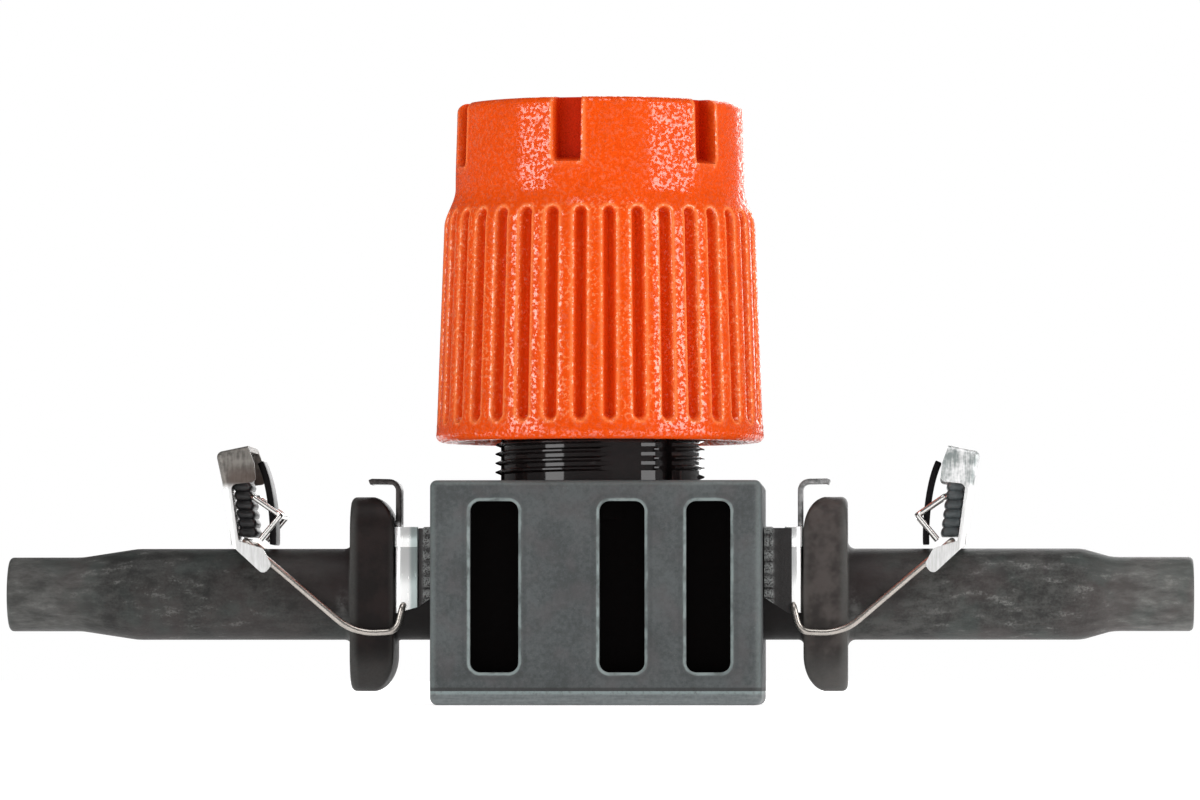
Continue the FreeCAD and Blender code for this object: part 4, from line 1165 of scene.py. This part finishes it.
def softbox(name, azimuth, height, distance, size, power):
    """A rectangular light that faces the emitter: degrees to the right of the front, metres and watts."""
    light = bpy.data.lights.new(name, "AREA")
    light.shape = "RECTANGLE"
    light.size, light.size_y = size
    light.energy = power
    lamp = bpy.data.objects.new(name, light)
    turn = math.radians(azimuth)
    aim = Vector((0, 0, 0.016))
    lamp.location = aim + Vector((math.sin(turn) * distance, -math.cos(turn) * distance, height))
    lamp.rotation_euler = (aim - lamp.location).to_track_quat("-Z", "Y").to_euler()
    bpy.context.scene.collection.objects.link(lamp)


def floor_finish():
    """White paper lit from below, as on a light table, more so away from the object."""
    finish = Finish("floor_paper", 0.85, Specular_IOR_Level=0.1)
    finish.colour(finish.mix(finish.noise(0.02, 2.0), (0.90, 0.90, 0.90), (0.93, 0.93, 0.93)))
    away = (finish.x ** 2.0 + finish.y ** 2.0) ** 0.5
    glow = finish.mix(away.step(35.0, 110.0), (0.50, 0.50, 0.50), (1.0, 1.0, 1.0))
    finish.drive("Emission Color", glow)
    finish.shader.inputs["Emission Strength"].default_value = 1.0
    return finish.material


def studio_world(fill, shine):
    """White to look at, an even fill for the light, and bright and dark panels in reflections."""
    world = bpy.data.worlds.new("studio")
    world.use_nodes = True
    tree = world.node_tree
    background = tree.nodes["Background"]
    background.inputs["Color"].default_value = (1.0, 1.0, 1.0, 1.0)
    rays = tree.nodes.new("ShaderNodeLightPath")
    seen = Signal(tree, rays.outputs["Is Camera Ray"])
    glossy = Signal(tree, rays.outputs["Is Glossy Ray"])
    aim = tree.nodes.new("ShaderNodeTexCoord")
    parts = tree.nodes.new("ShaderNodeSeparateXYZ")
    tree.links.new(aim.outputs["Generated"], parts.inputs[0])
    across, deep, up = (Signal(tree, output) for output in parts.outputs)
    panels = up.step(-0.25, 0.15) * 0.25 + abs(across).step(0.25, 0.75) * 0.25
    reflected = (panels + deep.step(-0.4, -0.9) * 0.35) * shine + 0.02
    plain = glossy * reflected + (1 - glossy) * fill
    feed(tree, background.inputs["Strength"], seen + (1 - seen) * plain)
    return world


class EMITTER_OT_stage(bpy.types.Operator):
    """Set the pale floor, the soft lights and the camera"""

    bl_idname = "emitter.stage"
    bl_label = "Stage"

    def execute(self, context):
        scene = context.scene
        settings = scene.emitter_stage
        bm = bmesh.new()
        bmesh.ops.create_grid(bm, x_segments=8, y_segments=8, size=3.0)
        mesh = bpy.data.meshes.new("floor")
        bm.to_mesh(mesh)
        bm.free()
        floor = bpy.data.objects.new("floor", mesh)
        scene.collection.objects.link(floor)
        mesh.materials.append(floor_finish())

        scene.world = studio_world(settings.fill, settings.shine)
        scene.view_settings.view_transform = "Standard"

        boxes = (("left_box", -52, 0.06, 0.40, (0.17, 0.32), 0.66),
                 ("right_box", 62, 0.08, 0.40, (0.28, 0.32), 1.05),
                 ("top_box", 10, 0.50, 0.16, (0.45, 0.35), 1.1),
                 ("back_box", 165, 0.16, 0.42, (0.30, 0.30), 0.9))
        for box in boxes:
            softbox(*box)

        centre = Vector((0, 0, settings.aim_height))
        camera_data = bpy.data.cameras.new("camera")
        camera_data.sensor_width = 36.0
        camera_data.lens = camera_data.sensor_width * settings.distance / settings.framed_width
        camera_data.clip_start = 0.01
        camera = bpy.data.objects.new("camera", camera_data)
        turn = settings.azimuth
        camera.location = (math.sin(turn) * settings.distance, -math.cos(turn) * settings.distance,
                           settings.camera_height)
        camera.rotation_euler = (centre - camera.location).to_track_quat("-Z", "Y").to_euler()
        scene.collection.objects.link(camera)
        scene.camera = camera
        return {"FINISHED"}


# ---------------------------------------------------------------- panel and registration

MAKERS = (EMITTER_OT_stage, EMITTER_OT_adjuster_cap, EMITTER_OT_housing, EMITTER_OT_valve,
          EMITTER_OT_spigots, EMITTER_OT_saddle_pads, EMITTER_OT_brackets, EMITTER_OT_levers,
          EMITTER_OT_lever_pads, EMITTER_OT_leaf_springs)
GROUPS = (("emitter_cap", EMITTER_PG_cap), ("emitter_clip", EMITTER_PG_clip),
          ("emitter_finish", EMITTER_PG_finish), ("emitter_stage", EMITTER_PG_stage))


class EMITTER_PT_pieces(bpy.types.Panel):
    """Lists the pieces and their sizes"""

    bl_label = "Drip emitter"
    bl_space_type = "VIEW_3D"
    bl_region_type = "UI"
    bl_category = "Emitter"

    def draw(self, context):
        for name, group in GROUPS:
            settings = getattr(context.scene, name)
            column = self.layout.column(heading=group.__doc__)
            for field in group.__annotations__:
                column.prop(settings, field)
        for maker in MAKERS:
            self.layout.operator(maker.bl_idname)


def register():
    for name, group in GROUPS:
        bpy.utils.register_class(group)
        setattr(bpy.types.Scene, name, PointerProperty(type=group))
    for item in (*MAKERS, EMITTER_PT_pieces):
        bpy.utils.register_class(item)


def unregister():
    for item in reversed((*MAKERS, EMITTER_PT_pieces)):
        bpy.utils.unregister_class(item)
    for name, group in reversed(GROUPS):
        delattr(bpy.types.Scene, name)
        bpy.utils.unregister_class(group)


def main():
    register()
    for maker in MAKERS:
        group, action = maker.bl_idname.split(".")
        getattr(getattr(bpy.ops, group), action)()


if __name__ == "__main__":
    main()
